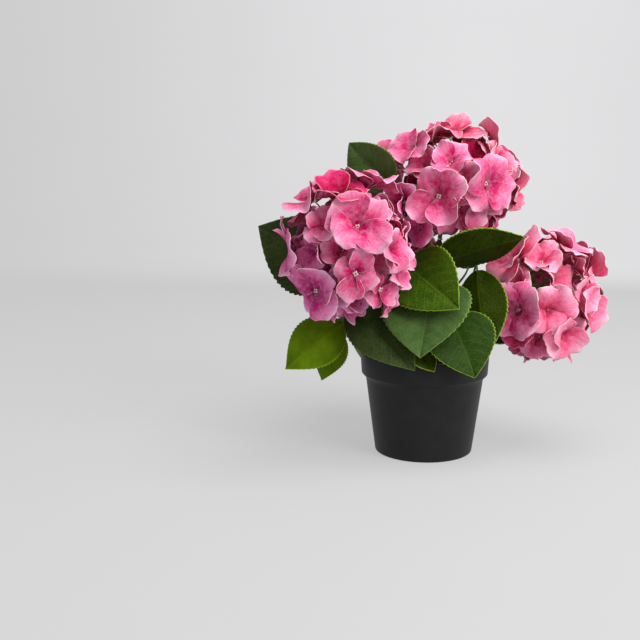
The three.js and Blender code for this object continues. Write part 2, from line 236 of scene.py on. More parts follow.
def tube(points: np.ndarray, radii: np.ndarray, sides: int, relief: np.ndarray | None = None
         ) -> tuple[np.ndarray, np.ndarray]:
    """Closed round limb along a row of points, with a pole at each end.

    Args:
        points: its middle line.
        radii: its radius at each of those points.
        sides: how many facets go round.
        relief: what to multiply the radius by, a row for each point and a value for each side.

    Returns:
        Its points, and its faces as rows of four.
    """
    along = np.gradient(points, axis=0)
    along /= np.linalg.norm(along, axis=1)[:, None]
    across = np.cross(along[0], UP if abs(along[0][2]) < 0.9 else np.array([1.0, 0, 0]))
    turn = np.linspace(0, 2 * np.pi, sides, endpoint=False)
    shape = np.ones((len(points), sides)) if relief is None else relief
    rings = []
    for i, (middle, way) in enumerate(zip(points, along)):
        across = unit(across - way * (across @ way))
        other = np.cross(way, across)
        ring = np.cos(turn)[:, None] * across + np.sin(turn)[:, None] * other
        rings.append(middle + radii[i] * shape[i][:, None] * ring)
    body = np.concatenate([points[:1], *rings, points[-1:]])
    return body, lofted_faces(len(points), sides)


def lofted_faces(rings: int, sides: int) -> np.ndarray:
    """Faces of a closed form of rings with a pole before the first and after the last.

    Args:
        rings: how many rings there are.
        sides: points on each ring.

    Returns:
        Rows of four corners; the poles' faces repeat a corner.
    """
    now = np.arange(sides)
    after = (now + 1) % sides
    last = rings * sides + 1
    faces = [np.stack([np.zeros_like(now), 1 + after, 1 + now, 1 + now], 1)]
    for ring in range(rings - 1):
        low, high = 1 + ring * sides, 1 + (ring + 1) * sides
        faces.append(np.stack([low + now, low + after, high + after, high + now], 1))
    low = 1 + (rings - 1) * sides
    faces.append(np.stack([low + now, low + after, np.full_like(now, last), np.full_like(now, last)], 1))
    return np.concatenate(faces)


def grid_faces(rows: int, columns: int) -> np.ndarray:
    """Returns the faces of a grid of points as rows of four."""
    index = np.arange(rows * columns).reshape(rows, columns)
    return np.stack([index[:-1, :-1], index[1:, :-1], index[1:, 1:], index[:-1, 1:]], -1).reshape(-1, 4)


def turned(profile: np.ndarray, sides: int) -> tuple[np.ndarray, np.ndarray]:
    """Solid of revolution about Z.

    Args:
        profile: rows of radius and height, from pole to pole, each pole at radius 0.
        sides: how many facets go round.

    Returns:
        Its points, and its faces as rows of four.
    """
    turn = np.linspace(0, 2 * np.pi, sides, endpoint=False)
    ring = np.stack([np.cos(turn), np.sin(turn), np.zeros(sides)], 1)
    rings = [r * ring + z * UP for r, z in profile[1:-1]]
    poles = [np.array([[0, 0, z]]) for z in (profile[0][1], profile[-1][1])]
    return np.concatenate([poles[0], *rings, poles[1]]), lofted_faces(len(profile) - 2, sides)


@dataclass
class Blade:
    """A thin leaf or petal: a grid of points on top, one underneath, and a rim between."""

    top: np.ndarray
    bottom: np.ndarray
    grid_maps: dict[str, np.ndarray]
    face_slot: int
    rim_slot: int
    cell: Cell
    pad: float = 0.06
    rim_out: float = 1.6

    def bake_places(self) -> np.ndarray:
        """The grid's own places on the bake map, inside the blade's cell.

        Returns:
            A pair for each point of the grid.
        """
        rows, columns = self.top.shape[:2]
        u, v = np.meshgrid(np.linspace(0, 1, rows), np.linspace(0, 1, columns), indexing="ij")
        inner = self.pad + (1 - 2 * self.pad) * np.stack([u, v], -1)
        return np.array(self.cell[:2]) + self.cell[2] * inner

    def tree(self) -> BVHTree:
        """Returns the blade's upper side as a tree of faces, to test petals against."""
        faces = grid_faces(*self.top.shape[:2])
        return BVHTree.FromPolygons(self.top.reshape(-1, 3).tolist(), faces.tolist())

    def add_to(self, batch: MeshBatch) -> None:
        """Adds the blade to a batch.

        Args:
            batch: the batch that its piece is made from.
        """
        rows, columns = self.top.shape[:2]
        index = np.arange(rows * columns).reshape(rows, columns)
        face = grid_faces(rows, columns)
        edge = np.concatenate([index[:, 0], index[-1, 1:], index[-2::-1, -1], index[0, -2:0:-1]])
        now, after, under = edge, np.roll(edge, -1), rows * columns
        rim = np.stack([after, now, now + under, after + under], 1)
        quads = np.concatenate([face, face[:, ::-1] + under, rim])
        slots = np.concatenate([np.full(2 * len(face), self.face_slot), np.full(len(rim), self.rim_slot)])
        maps = {}
        for name, places in {**self.grid_maps, BAKE_MAP: self.bake_places()}.items():
            flat = places.reshape(-1, 2)
            maps[name] = np.concatenate([flat, flat])[quads]
        middle = np.array(self.cell[:2]) + self.cell[2] / 2
        outer = maps[BAKE_MAP][2 * len(face):, 2:]
        maps[BAKE_MAP][2 * len(face):, 2:] = middle + (outer - middle) * (1 + self.rim_out * self.pad)
        batch.add(np.concatenate([self.top.reshape(-1, 3), self.bottom.reshape(-1, 3)]), quads, slots, maps)


def bake_cells(count: int) -> Iterator[Cell]:
    """Shares a bake map out in square cells.

    Args:
        count: how many cells it needs.

    Yields:
        Each cell's corner and size.
    """
    across = math.ceil(math.sqrt(count))
    for i in range(count):
        yield i % across / across, i // across / across, 1 / across


class Nodes:
    """Builds one Principled material step by step."""

    def __init__(self, name: str, roughness: float, specular: float = 0.5) -> None:
        """Starts a material.

        Args:
            name: the material's name.
            roughness: its even roughness.
            specular: strength of its reflections, 0.5 being plain plastic.
        """
        self.material = bpy.data.materials.new(name)
        self.material.use_nodes = True
        self.tree = self.material.node_tree
        self.shader = self.tree.nodes["Principled BSDF"]
        self.shader.inputs["Roughness"].default_value = roughness
        self.shader.inputs["Specular IOR Level"].default_value = specular

    def add(self, kind: str, feeds: dict[str | int, Socket | float | Sequence[float]],
            output: str | int = 0, **traits: str) -> Socket:
        """Adds a node.

        Args:
            kind: its type.
            feeds: a socket to link, or a value to set, for each of its inputs that isn't left as it is.
            output: which of its outputs to return.
            traits: settings of the node itself.

        Returns:
            The output.
        """
        node = self.tree.nodes.new(kind)
        for trait, value in traits.items():
            setattr(node, trait, value)
        for slot, feed in feeds.items():
            if isinstance(feed, Socket):
                self.tree.links.new(feed, node.inputs[slot])
            else:
                node.inputs[slot].default_value = feed
        return node.outputs[output]

    def place(self, name: str | None = None, scale: Triple = (1, 1, 1)) -> Socket:
        """Places to look a pattern up at.

        Args:
            name: a texture map, or None for the piece's own space in metres.
            scale: what to multiply the places by.

        Returns:
            The socket that gives them.
        """
        if name:
            given = self.add("ShaderNodeUVMap", {}, "UV", uv_map=name)
        else:
            given = self.add("ShaderNodeTexCoord", {}, "Object")
        return self.add("ShaderNodeMapping", {"Vector": given, "Scale": scale})

    def part(self, places: Socket, axis: str) -> Socket:
        """Returns one axis, X, Y or Z, of a socket of places."""
        return self.add("ShaderNodeSeparateXYZ", {0: places}, axis)

    def noise(self, places: Socket, scale: float, detail: float = 2.0, roughness: float = 0.5) -> Socket:
        """Returns a noise pattern's value at some places."""
        feeds = {"Vector": places, "Scale": scale, "Detail": detail, "Roughness": roughness}
        return self.add("ShaderNodeTexNoise", feeds, "Fac")

    def net(self, places: Socket, scale: float) -> Socket:
        """Returns how far places lie from the threads of an uneven net."""
        feeds = {"Vector": places, "Scale": scale}
        return self.add("ShaderNodeTexVoronoi", feeds, "Distance", feature="DISTANCE_TO_EDGE")

    def math(self, kind: str, a: Socket, b: Socket | float) -> Socket:
        """Returns the result of a sum on a socket and a second socket or number."""
        return self.add("ShaderNodeMath", {0: a, 1: b}, operation=kind)

    def band(self, value: Socket, stops: Sequence[tuple[float, float]]) -> Socket:
        """Returns a value run through a row of (place, height) stops."""
        return self.ramp(value, [(place, (height,) * 3) for place, height in stops])

    def ramp(self, value: Socket, stops: Sequence[tuple[float, Colour]]) -> Socket:
        """Colours picked by a value.

        Args:
            value: the value.
            stops: a row of places and their colours.

        Returns:
            The socket that gives the colour.
        """
        colour = self.add("ShaderNodeValToRGB", {"Fac": value}, "Color")
        spots = colour.node.color_ramp.elements
        while len(spots) < len(stops):
            spots.new(0.5)
        for spot, (place, shade) in zip(spots, stops):
            spot.position = place
            spot.color = (*shade, 1)
        return colour

    def mix(self, share: Socket, base: Socket, over: Colour) -> Socket:
        """Returns a colour laid over another by a share."""
        feeds = {"Factor": share, MIX_FROM: base, MIX_TO: (*over, 1)}
        return self.add("ShaderNodeMix", feeds, MIX_RESULT, data_type="RGBA")

    def bump(self, height: Socket, depth_mm: float) -> None:
        """Dents the surface by a pattern of up to this depth."""
        normal = self.add("ShaderNodeBump", {"Distance": depth_mm * MM, "Height": height}, "Normal")
        self.tree.links.new(normal, self.shader.inputs["Normal"])

    def finish(self, colour: Socket) -> bpy.types.Material:
        """Returns the material with this base colour."""
        self.tree.links.new(colour, self.shader.inputs["Base Color"])
        return self.material


@dataclass(frozen=True)
class PetalFinish:
    """Dyed cloth: a dark throat, part dye and part painted shade, opening into the body colour, with fine
    rays and a paler margin.
    """

    name: str
    throat: Colour
    body: Colour
    far: Colour
    margin: Colour
    hem: Colour = (0.90, 0.62, 0.62)

    def material(self) -> bpy.types.Material:
        """Builds the material of a petal's two faces.

        Returns:
            The material.
        """
        nodes = Nodes(self.name, roughness=0.85, specular=0.02)
        shape = nodes.place(SHAPE_MAP)
        along = nodes.part(shape, "Y")
        inward = nodes.part(shape, "X")
        # The dark throat is partly the cloth's dye and partly painted shade where the petal cups round its
        # pip.
        base = nodes.ramp(along, [(0.12, self.throat), (0.46, self.body), (0.82, self.far),
                                  (1.0, self.margin)])
        rays = nodes.noise(nodes.place(RAY_MAP, (2.4, 16, 1)), 1.0, 4, 0.7)
        cloudy = nodes.noise(nodes.place(PATTERN_MAP, (4.2, 4.2, 1)), 1.0, 5, 0.7)
        threads = nodes.net(nodes.place(PATTERN_MAP), 9.0)
        lined = nodes.math("MULTIPLY", nodes.band(rays, [(0.46, 0.0), (0.62, 0.8)]),
                           nodes.band(along, [(0.25, 1.0), (0.95, 0.3)]))
        lined = nodes.math("MAXIMUM", lined, nodes.band(threads, [(0.0, 0.28), (0.05, 0.1), (0.14, 0.0)]))
        base = nodes.mix(lined, base, self.throat)
        base = nodes.mix(nodes.band(cloudy, [(0.42, 0.0), (0.7, 0.38)]), base, self.margin)
        hemmed = nodes.band(inward, [(0.0, 0.6), (0.02, 0.25), (0.05, 0.0)])
        return nodes.finish(nodes.mix(hemmed, base, self.hem))

    def edge(self) -> bpy.types.Material:
        """Builds the material of a petal's cut edge.

        Returns:
            The material.
        """
        nodes = Nodes(self.name + "_edge", roughness=0.9, specular=0.2)
        patchy = nodes.noise(nodes.place(PATTERN_MAP, (3, 3, 1)), 1.0)
        return nodes.finish(nodes.ramp(patchy, [(0.35, self.margin), (0.65, self.hem)]))


PETAL_FINISHES = {
    PetalHue.ROSE: PetalFinish("petal_rose", (0.32, 0.0005, 0.06), (0.66, 0.030, 0.16), (0.82, 0.21, 0.39),
                               (0.88, 0.48, 0.66)),
    PetalHue.SALMON: PetalFinish("petal_salmon", (0.34, 0.001, 0.04), (0.70, 0.038, 0.12),
                                 (0.84, 0.22, 0.35), (0.89, 0.49, 0.60)),
    PetalHue.ORCHID: PetalFinish("petal_orchid", (0.28, 0.0005, 0.09), (0.60, 0.030, 0.21),
                                 (0.78, 0.21, 0.45), (0.87, 0.48, 0.70)),
    # Painted shade: the dark raspberry pink stands for the shade on florets that sit deep in a head.
    PetalHue.RASPBERRY: PetalFinish("petal_shaded_raspberry", (0.20, 0.0003, 0.02), (0.42, 0.003, 0.055),
                                    (0.58, 0.016, 0.12), (0.75, 0.15, 0.30)),
    # Painted light: the pale blush pink stands for the key light falling on the right head.
    PetalHue.BLUSH: PetalFinish("petal_lit_blush", (0.44, 0.003, 0.07), (0.84, 0.11, 0.25), (0.92, 0.32, 0.49),
                                (0.94, 0.54, 0.67)),
}


@dataclass(frozen=True)
class LeafFinish:
    """Printed leaf: a mottled green with paler veins and a frayed pale edge."""

    name: str
    dark: Colour
    light: Colour
    vein: Colour
    edge_colour: Colour
    roughness: float

    def material(self) -> bpy.types.Material:
        """Builds the material of a leaf's two faces.

        Returns:
            The material.
        """
        nodes = Nodes(self.name, roughness=self.roughness, specular=0.06)
        cloudy = nodes.noise(nodes.place(PATTERN_MAP, (2.2, 2.2, 1)), 1.0, 4, 0.6)
        base = nodes.ramp(cloudy, [(0.3, self.dark), (0.7, self.light)])
        threads = nodes.net(nodes.place(PATTERN_MAP), 11.0)
        base = nodes.mix(nodes.band(threads, [(0.0, 0.45), (0.06, 0.12), (0.16, 0.0)]), base, self.vein)
        veins = nodes.place(VEIN_MAP)
        wander = nodes.math("MULTIPLY", nodes.noise(nodes.place(PATTERN_MAP, (3, 3, 1)), 1.0), 0.22)
        side = nodes.math("PINGPONG", nodes.math("ADD", nodes.part(veins, "X"), wander), 0.5)
        near_side = nodes.band(side, [(0.0, 0.75), (0.02, 0.3), (0.05, 0.0)])
        near_rib = nodes.band(nodes.part(veins, "Y"), [(0.0, 0.9), (0.02, 0.6), (0.05, 0.0)])
        base = nodes.mix(nodes.math("MAXIMUM", near_side, near_rib), base, self.vein)
        inward = nodes.part(nodes.place(SHAPE_MAP), "X")
        frayed = nodes.band(inward, [(0.0, 0.95), (0.025, 0.35), (0.07, 0.0)])
        base = nodes.mix(frayed, base, self.edge_colour)
        nodes.bump(nodes.noise(nodes.place(PATTERN_MAP, (24, 24, 1)), 1.0, 3), 0.25)
        return nodes.finish(base)

    def edge(self) -> bpy.types.Material:
        """Builds the material of a leaf's cut edge.

        Returns:
            The material.
        """
        nodes = Nodes(self.name + "_edge", roughness=0.8, specular=0.3)
        patchy = nodes.noise(nodes.place(PATTERN_MAP, (9, 9, 1)), 1.0)
        return nodes.finish(nodes.ramp(patchy, [(0.35, self.light), (0.6, self.edge_colour)]))


LIME_EDGE = (0.36, 0.50, 0.05)
LEAF_FINISHES = {
    LeafHue.DARK: LeafFinish("leaf_dark", (0.016, 0.028, 0.006), (0.042, 0.062, 0.016), (0.06, 0.09, 0.02),
                             (0.12, 0.18, 0.04), 0.55),
    LeafHue.GREY: LeafFinish("leaf_grey", (0.037, 0.080, 0.015), (0.074, 0.140, 0.036), (0.10, 0.17, 0.05),
                             (0.22, 0.32, 0.05), 0.5),
    LeafHue.RICH: LeafFinish("leaf_rich", (0.010, 0.030, 0.002), (0.024, 0.056, 0.006), (0.05, 0.10, 0.01),
                             LIME_EDGE, 0.5),
    LeafHue.BRIGHT: LeafFinish("leaf_bright", (0.018, 0.048, 0.001), (0.041, 0.088, 0.003),
                               (0.09, 0.17, 0.01), LIME_EDGE, 0.5),
    # Partly the underside's own green and partly painted shade: the dark olive stands for an underside
    # shaded by the blooms.
    LeafHue.OLIVE: LeafFinish("leaf_shaded_olive", (0.012, 0.024, 0.0005), (0.028, 0.050, 0.001),
                              (0.06, 0.09, 0.003), LIME_EDGE, 0.55),
    # Partly the paler underside's own green and partly painted light: the bright lime stands for light
    # shining through a backlit leaf.
    LeafHue.LIME: LeafFinish("leaf_backlit_lime", (0.08, 0.15, 0.001), (0.15, 0.26, 0.004), (0.10, 0.18, 0.003),
                             (0.30, 0.42, 0.03), 0.6),
}


@dataclass(frozen=True)
class MottledFinish:
    """Plain moulded or gritty surface whose colour and height wander a little."""

    name: str
    dark: Colour
    light: Colour
    roughness: float
    grain: float
    depth_mm: float
    specular: float = 0.5
    # A glow above 0 is painted light: the surface shines though it is no lamp.
    glow: float = 0.0

    def material(self) -> bpy.types.Material:
        """Builds the material.

        Returns:
            The material.
        """
        nodes = Nodes(self.name, roughness=self.roughness, specular=self.specular)
        nodes.shader.inputs["Emission Strength"].default_value = self.glow
        places = nodes.place()
        grain = nodes.noise(places, self.grain, 4, 0.6)
        broad = nodes.noise(places, self.grain / 12, 2)
        colour = nodes.ramp(nodes.math("MULTIPLY", nodes.math("ADD", grain, broad), 0.5),
                            [(0.35, self.dark), (0.65, self.light)])
        nodes.bump(grain, self.depth_mm)
        return nodes.finish(colour)


POT_FINISH = MottledFinish("pot_plastic", (0.0075, 0.007, 0.0075), (0.012, 0.0115, 0.012), 0.48, 900, 0.05,
                           0.24)
GRIT_FINISH = MottledFinish("potting_grit", (0.012, 0.008, 0.006), (0.07, 0.05, 0.035), 0.95, 320, 0.8, 0.2)
STEM_FINISH = MottledFinish("stem_plastic", (0.05, 0.11, 0.02), (0.11, 0.20, 0.045), 0.55, 160, 0.12)
STALK_FINISH = MottledFinish("stalk_plastic", (0.10, 0.19, 0.04), (0.19, 0.30, 0.08), 0.55, 200, 0.05)
PIP_FINISH = MottledFinish("pip_plastic", (0.62, 0.36, 0.36), (0.84, 0.68, 0.62), 0.5, 500, 0.02)
# Painted light: the floor glows evenly, which lifts the plant's shadows on it and lights the plant from
# below.
GLOWING_FLOOR_FINISH = MottledFinish("floor_paper_glowing", (0.185, 0.184, 0.19), (0.195, 0.194, 0.20), 0.9, 4, 0.0, 0.1,
                             0.44)


def faces_and_edges(finishes: dict[Enum, PetalFinish | LeafFinish], hues: type[Enum]
                    ) -> list[bpy.types.Material]:
    """Returns the face and edge materials of every hue in turn, two slots to each."""
    return [material for hue in hues for material in (finishes[hue].material(), finishes[hue].edge())]


def claim(piece: bpy.types.Object, node: str) -> None:
    """Lets a piece stand for a node of the part.

    Args:
        piece: the visual piece.
        node: the node that it replaces.
    """
    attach(piece, "root")
    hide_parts(node)
    log.info("%s stands for %s with %d faces", piece.name, node, len(piece.data.polygons))


@dataclass
class Pot:
    """Tapered pot with a rounded foot, a lip over a narrow ledge, and an open mouth."""

    foot_radius: float = 43.6
    foot_round: float = 2.0
    body_radius: float = 54.8
    ledge: float = 1.0
    ledge_radius: float = 56.0
    lip_foot: float = 72.3
    lip_chamfer: float = 3.2
    lip_foot_radius: float = 58.8
    rim_radius: float = 60.0
    rim_round: float = 0.8
    mouth_radius: float = 55.8
    height: float = 94.7
    wall: float = 1.8
    floor: float = 2.4
    sides: int = 160
    round_steps: int = 5
    wall_steps: int = 24
    inside_steps: int = 16
    ledge_round: float = 0.6

    def inner_radius(self, height: float) -> float:
        """How wide the pot is inside.

        Args:
            height: where to measure it.

        Returns:
            The inside radius there.
        """
        share = (height - self.floor) / (self.height - self.floor)
        low = self.foot_radius - self.wall
        return low + share * (self.mouth_radius - low)

    def corner(self, radius: float, height: float, size: float, start: float, end: float
               ) -> list[Sequence[float]]:
        """Returns the points of a rounded edge: an arc about a radius and height, between two angles."""
        turns = np.radians(np.linspace(start, end, self.round_steps))
        return [(radius + size * math.cos(t), height + size * math.sin(t)) for t in turns]

    def build(self) -> None:
        """Builds the pot's piece."""
        lip = self.lip_foot + self.lip_chamfer
        edge = self.rim_round
        wall_foot = self.foot_radius + self.foot_round
        wall_height = self.lip_foot - self.ledge - self.foot_round
        wall = [(wall_foot + (self.body_radius - wall_foot) * t, self.foot_round + wall_height * t)
                for t in np.linspace(0.02, 1, self.wall_steps)]
        inside = [(self.inner_radius(h), h)
                  for h in np.linspace(self.height - edge, self.floor, self.inside_steps)]
        profile = [
            (0, 0), (self.foot_radius * 0.5, 0),
            *self.corner(self.foot_radius, self.foot_round, self.foot_round, -90, 0), *wall,
            (self.ledge_radius, self.lip_foot),
            *self.corner(self.lip_foot_radius - self.ledge_round, lip, self.ledge_round, -50, 0),
            *self.corner(self.rim_radius - edge, self.height - edge, edge, 0, 90),
            *self.corner(self.inner_radius(self.height) + edge, self.height - edge, edge, 90, 180),
            *inside, (0, self.floor),
        ]
        batch = MeshBatch("pot_body")
        batch.add(*turned(np.array(profile, dtype=float), self.sides))
        claim(batch.piece([POT_FINISH.material()]), "pot")


@dataclass
class PottingFill:
    """Gritty filling, domed under the main stem."""

    pot: Pot
    level: float = 76.0
    dome: float = 4.0
    clear: float = 0.7
    grit: float = 0.6
    smooth_radius: float = 14.0
    seed: int = 5
    sides: int = 96
    rings: int = 40

    def top(self, radius: float) -> float:
        """Returns the surface's height at a radius, without its grit."""
        return self.level + self.dome * (1 - (radius / self.pot.inner_radius(self.level)) ** 2)

    def build(self) -> None:
        """Builds the filling's piece, with grit on its surface."""
        foot = self.pot.floor + GAP
        edge = self.pot.inner_radius(self.level) - self.clear
        surface = [(r, self.top(r)) for r in np.linspace(edge, 2, self.rings)]
        profile = [(0, foot), (self.pot.inner_radius(foot) - self.clear, foot), *surface, (0, self.top(0))]
        points, faces = turned(np.array(profile, dtype=float), self.sides)
        loose = np.random.default_rng(self.seed).uniform(-1, 1, len(points))
        radius = np.hypot(points[:, 0], points[:, 1])
        open_top = (points[:, 2] > self.level - 1) & (radius > self.smooth_radius) & (radius < edge - 1)
        points[open_top, 2] += self.grit * loose[open_top]
        batch = MeshBatch("potting_grit")
        batch.add(points, faces)
        claim(batch.piece([GRIT_FINISH.material()]), "potting_fill")


@dataclass
class MainStem:
    """Short main stem with a flared foot, a slight taper and a flat cut top."""

    foot: float
    foot_radius: float = 11.0
    flare: float = 5.0
    flare_neck: float = 0.8
    radius: float = 8.0
    top_radius: float = 7.0
    top: float = 118.0
    chamfer: float = 0.4
    flutes: int = 9
    flute_depth: float = 0.05
    wander: float = 0.8
    wander_height: float = 9.0
    shaft_steps: int = 40
    sides: int = 72

    def radius_at(self, height: float) -> float:
        """Returns the stem's radius at a height above its flare."""
        neck = self.foot + self.flare
        return self.radius + (self.top_radius - self.radius) * (height - neck) / (self.top - neck)

    def build(self) -> None:
        """Builds the main stem's piece, with shallow flutes that wander a little as they climb."""
        flare = [(self.foot_radius, self.foot), (self.radius + self.flare_neck, self.foot + self.flare / 2)]
        heights = np.linspace(self.foot + self.flare, self.top - self.chamfer, self.shaft_steps)
        shaft = [(self.radius_at(h), h) for h in heights]
        cut = [(self.top_radius - self.chamfer, self.top), (2.0, self.top)]
        profile = np.array([(0, self.foot), *flare, *shaft, *cut, (0, self.top)], dtype=float)
        points, faces = turned(profile, self.sides)
        turn = np.arctan2(points[:, 1], points[:, 0])
        wander = self.wander * np.sin(points[:, 2] / self.wander_height)
        relief = 1 - self.flute_depth * (0.5 + 0.5 * np.cos(self.flutes * (turn + wander)))
        points[:, :2] *= relief[:, None]
        batch = MeshBatch("stem_main")
        batch.add(points, faces)
        claim(batch.piece([STEM_FINISH.material()]), "main_stem")


@dataclass
class Head:
    """A flower head's place: its ball, the side its limb starts on, and its facing florets."""

    name: str
    centre: Triple
    stretch: Triple
    start: float
    seed: int
    hues: tuple[PetalHue, ...]
    facing: tuple[tuple[float, float, float, int], ...] = ()
    cups: tuple[float, ...] = ()
    bare: tuple[tuple[float, float, float], ...] = ()
    weight: float = 1.0
    # Share of the inner florets given the dark raspberry pink, painted shade for their place deep in the
    # head
    shaded_share: float = 0.35
    stem_reach: float = 46.0
    aim_height: float = 110.0
    middle: np.ndarray = field(init=False)
    shape: np.ndarray = field(init=False)
    axis: np.ndarray = field(init=False)
    side: np.ndarray = field(init=False)
    front: np.ndarray = field(init=False)
    foot: np.ndarray = field(init=False)

    def __post_init__(self) -> None:
        """Works out the way the head looks, two ways across that, and where its limb ends."""
        self.middle = np.array(self.centre, dtype=float)
        self.shape = np.array(self.stretch, dtype=float)
        self.axis = unit(self.middle - self.aim_height * UP)
        self.side = unit(np.cross([0.0, 1.0, 0.0], self.axis))
        self.front = np.cross(self.axis, self.side)
        self.foot = self.middle - self.stem_reach * self.axis

    def around(self, angle: float, turn: float) -> np.ndarray:
        """Returns the unit vector at an angle from the axis and a turn about it, both in radians."""
        across = math.cos(turn) * self.side + math.sin(turn) * self.front
        return math.cos(angle) * self.axis + math.sin(angle) * across


@dataclass
class Petal:
    """One petal of a floret, as sizes and directions."""

    pip: np.ndarray
    normal: np.ndarray
    outward: np.ndarray
    sideways: np.ndarray
    length: float
    half_width: float
    lift: float
    curl: float
    hollow: float
    seed: int = 0
    skew: float = 1.2
    blunt: float = 0.75

    def point(self, along: float, across: float) -> np.ndarray:
        """A point of the petal as the solids have it.

        Args:
            along: its place from the pip, 0, to the tip, 1.
            across: its place across, from -1 to 1.

        Returns:
            The point.
        """
        u, v = np.array(along), np.array(across)
        rise = math.tan(math.radians(self.lift)) * u - self.curl * u**2
        width = self.half_width * outline(u, self.skew, self.blunt) * v
        height = self.length * rise + self.hollow * v**2 * np.sin(np.pi * u)
        return (self.pip + (self.length * u)[..., None] * self.outward
                + width[..., None] * self.sideways + height[..., None] * self.normal)


@dataclass
class ClothPetal:
    """A petal of thin cloth: it rises from the pip, curls back, and is hollowed and ruffled across."""

    pip: np.ndarray
    normal: np.ndarray
    outward: np.ndarray
    sideways: np.ndarray
    length: float
    half_width: float
    lift: float
    curl: float
    base_hollow: float
    tip_hollow: float
    twist: float
    fold: float
    seed: int
    root: float = 0.05
    narrowing: float = 0.6
    thickness: float = 0.4
    ruffles: tuple[tuple[int, float, int], ...] = ((2, 1.4, 2), (3, 2.1, 3), (6, 1.3, 4), (11, 0.6, 6))
    scallops: tuple[tuple[int, float], ...] = ((4, 0.055), (9, 0.028), (17, 0.018))
    crease: float = 0.8
    crease_width: float = 1.8
    fold_round: float = 3.0
    bend_power: float = 1.4
    tip_scallop: float = 0.45
    tip_ruffle: float = 0.4
    overrun: float = 1.15
    stretches: int = 47
    pressing: float = 0.42
    fan_root: float = 0.04

    def disc(self, steps: int) -> tuple[np.ndarray, np.ndarray]:
        """A square grid pressed into a disc of radius 1, closer set towards its rim.

        Args:
            steps: points along each side of the grid.

        Returns:
            The places along the petal and across it, -1 at the pip and 1 at the tip.
        """
        side = np.sin(self.pressing * np.pi * np.linspace(-1, 1, steps)) / math.sin(self.pressing * math.pi)
        a, b = np.meshgrid(side, side, indexing="ij")
        return a * np.sqrt(1 - b**2 / 2), b * np.sqrt(1 - a**2 / 2)

    def laid_out(self, x: np.ndarray, y: np.ndarray) -> tuple[np.ndarray, np.ndarray]:
        """The petal as cut from flat cloth, with its uneven scalloped margin.

        Args:
            x: places along it on the disc.
            y: places across it on the disc.

        Returns:
            Shares of its length from the pip, and millimetres from its middle line.
        """
        rng = np.random.default_rng(self.seed)
        heading, far = np.arctan2(y, x), np.hypot(x, y)
        wave = sum(size * np.sin(count * heading + rng.uniform(0, 2 * np.pi))
                   for count, size in self.scallops)
        grow = 1 + wave * far**4 * (1 - self.tip_scallop + self.tip_scallop * x)
        along = self.root + (1 - self.root) * (x * grow + 1) / 2
        return along, self.half_width * y * grow * (1 - self.narrowing * np.clip(-x, 0, 1) ** 1.5)

    def surface(self, x: np.ndarray, y: np.ndarray) -> np.ndarray:
        """Points of the petal's middle surface.

        Args:
            x: places along it on the disc.
            y: places across it on the disc.

        Returns:
            A row of three for each place.
        """
        rng = np.random.default_rng(self.seed + 1)
        along, across = self.laid_out(x, y)
        share = np.linspace(0, self.overrun, self.stretches)
        slope = np.radians(self.lift - self.curl * share**self.bend_power)
        step = self.length * share[1]
        out = np.interp(along, share, np.cumsum(np.cos(slope)) * step - step)
        rise = np.interp(along, share, np.cumsum(np.sin(slope)) * step)
        slope = np.interp(along, share, slope)[..., None]
        face = np.cos(slope) * self.normal - np.sin(slope) * self.outward
        turn = (math.radians(self.twist) * along)[..., None]
        over = np.cos(turn) * face - np.sin(turn) * self.sideways
        side = np.cos(turn) * self.sideways + np.sin(turn) * face
        bend = (self.base_hollow * (1 - along) + self.tip_hollow * along) / self.half_width
        sunk = 0.5 * bend * across**2 * np.sinc(bend * across / (2 * np.pi)) ** 2
        width = across * np.sinc(bend * across / np.pi)
        heading, far = np.arctan2(y, x), np.hypot(x, y)
        wave = sum(size * far**power * np.sin(count * heading + rng.uniform(0, 2 * np.pi))
                   for count, size, power in self.ruffles)
        creased = self.crease * np.exp(-((across / self.crease_width) ** 2))
        sunk += wave * (1 - self.tip_ruffle + self.tip_ruffle * x) - creased * np.sin(np.pi * along)
        sunk += self.fold * (np.hypot(across, self.fold_round) - self.fold_round)
        return (self.pip + out[..., None] * self.outward + rise[..., None] * self.normal
                + width[..., None] * side + sunk[..., None] * over)

    def tree(self, steps: int) -> BVHTree:
        """Returns a coarse copy of the petal as a tree of faces."""
        return BVHTree.FromPolygons(self.surface(*self.disc(steps)).reshape(-1, 3).tolist(),
                                    grid_faces(steps, steps).tolist())

    def blade(self, steps: int, face_slot: int, cell: Cell) -> Blade:
        """Makes the petal's thin form.

        Args:
            steps: points along each side of its grid.
            face_slot: material slot of its two faces; the next one is its cut edge's.
            cell: corner and size of its place on the bake map.

        Returns:
            The blade.
        """
        x, y = self.disc(steps)
        top = self.surface(x, y)
        slope = np.cross(np.gradient(top, axis=0), np.gradient(top, axis=1))
        slope /= np.linalg.norm(slope, axis=-1)[..., None] + 1e-9
        along, across = self.laid_out(x, y)
        offset = np.random.default_rng(self.seed).uniform(0, MAP_SHIFT, 2)
        inward = self.half_width * (1 - np.hypot(x, y)) / EDGE_SPAN
        fan = np.arctan2(across, self.length * (along - self.fan_root))
        maps = {
            SHAPE_MAP: np.stack([inward, along], -1),
            PATTERN_MAP: np.stack([along * self.length, across], -1) / PATTERN_SPAN + offset,
            RAY_MAP: np.stack([along, fan], -1) + offset,
        }
        half = self.thickness / 2
        return Blade(top + half * slope, top - half * slope, maps, face_slot, face_slot + 1, cell)


@dataclass
class Pose:
    """How a floret's petals stand: how cupped, millimetres sunk, and share of their full size."""

    cup: float
    sink: float = 0.0
    size: float = 1.0


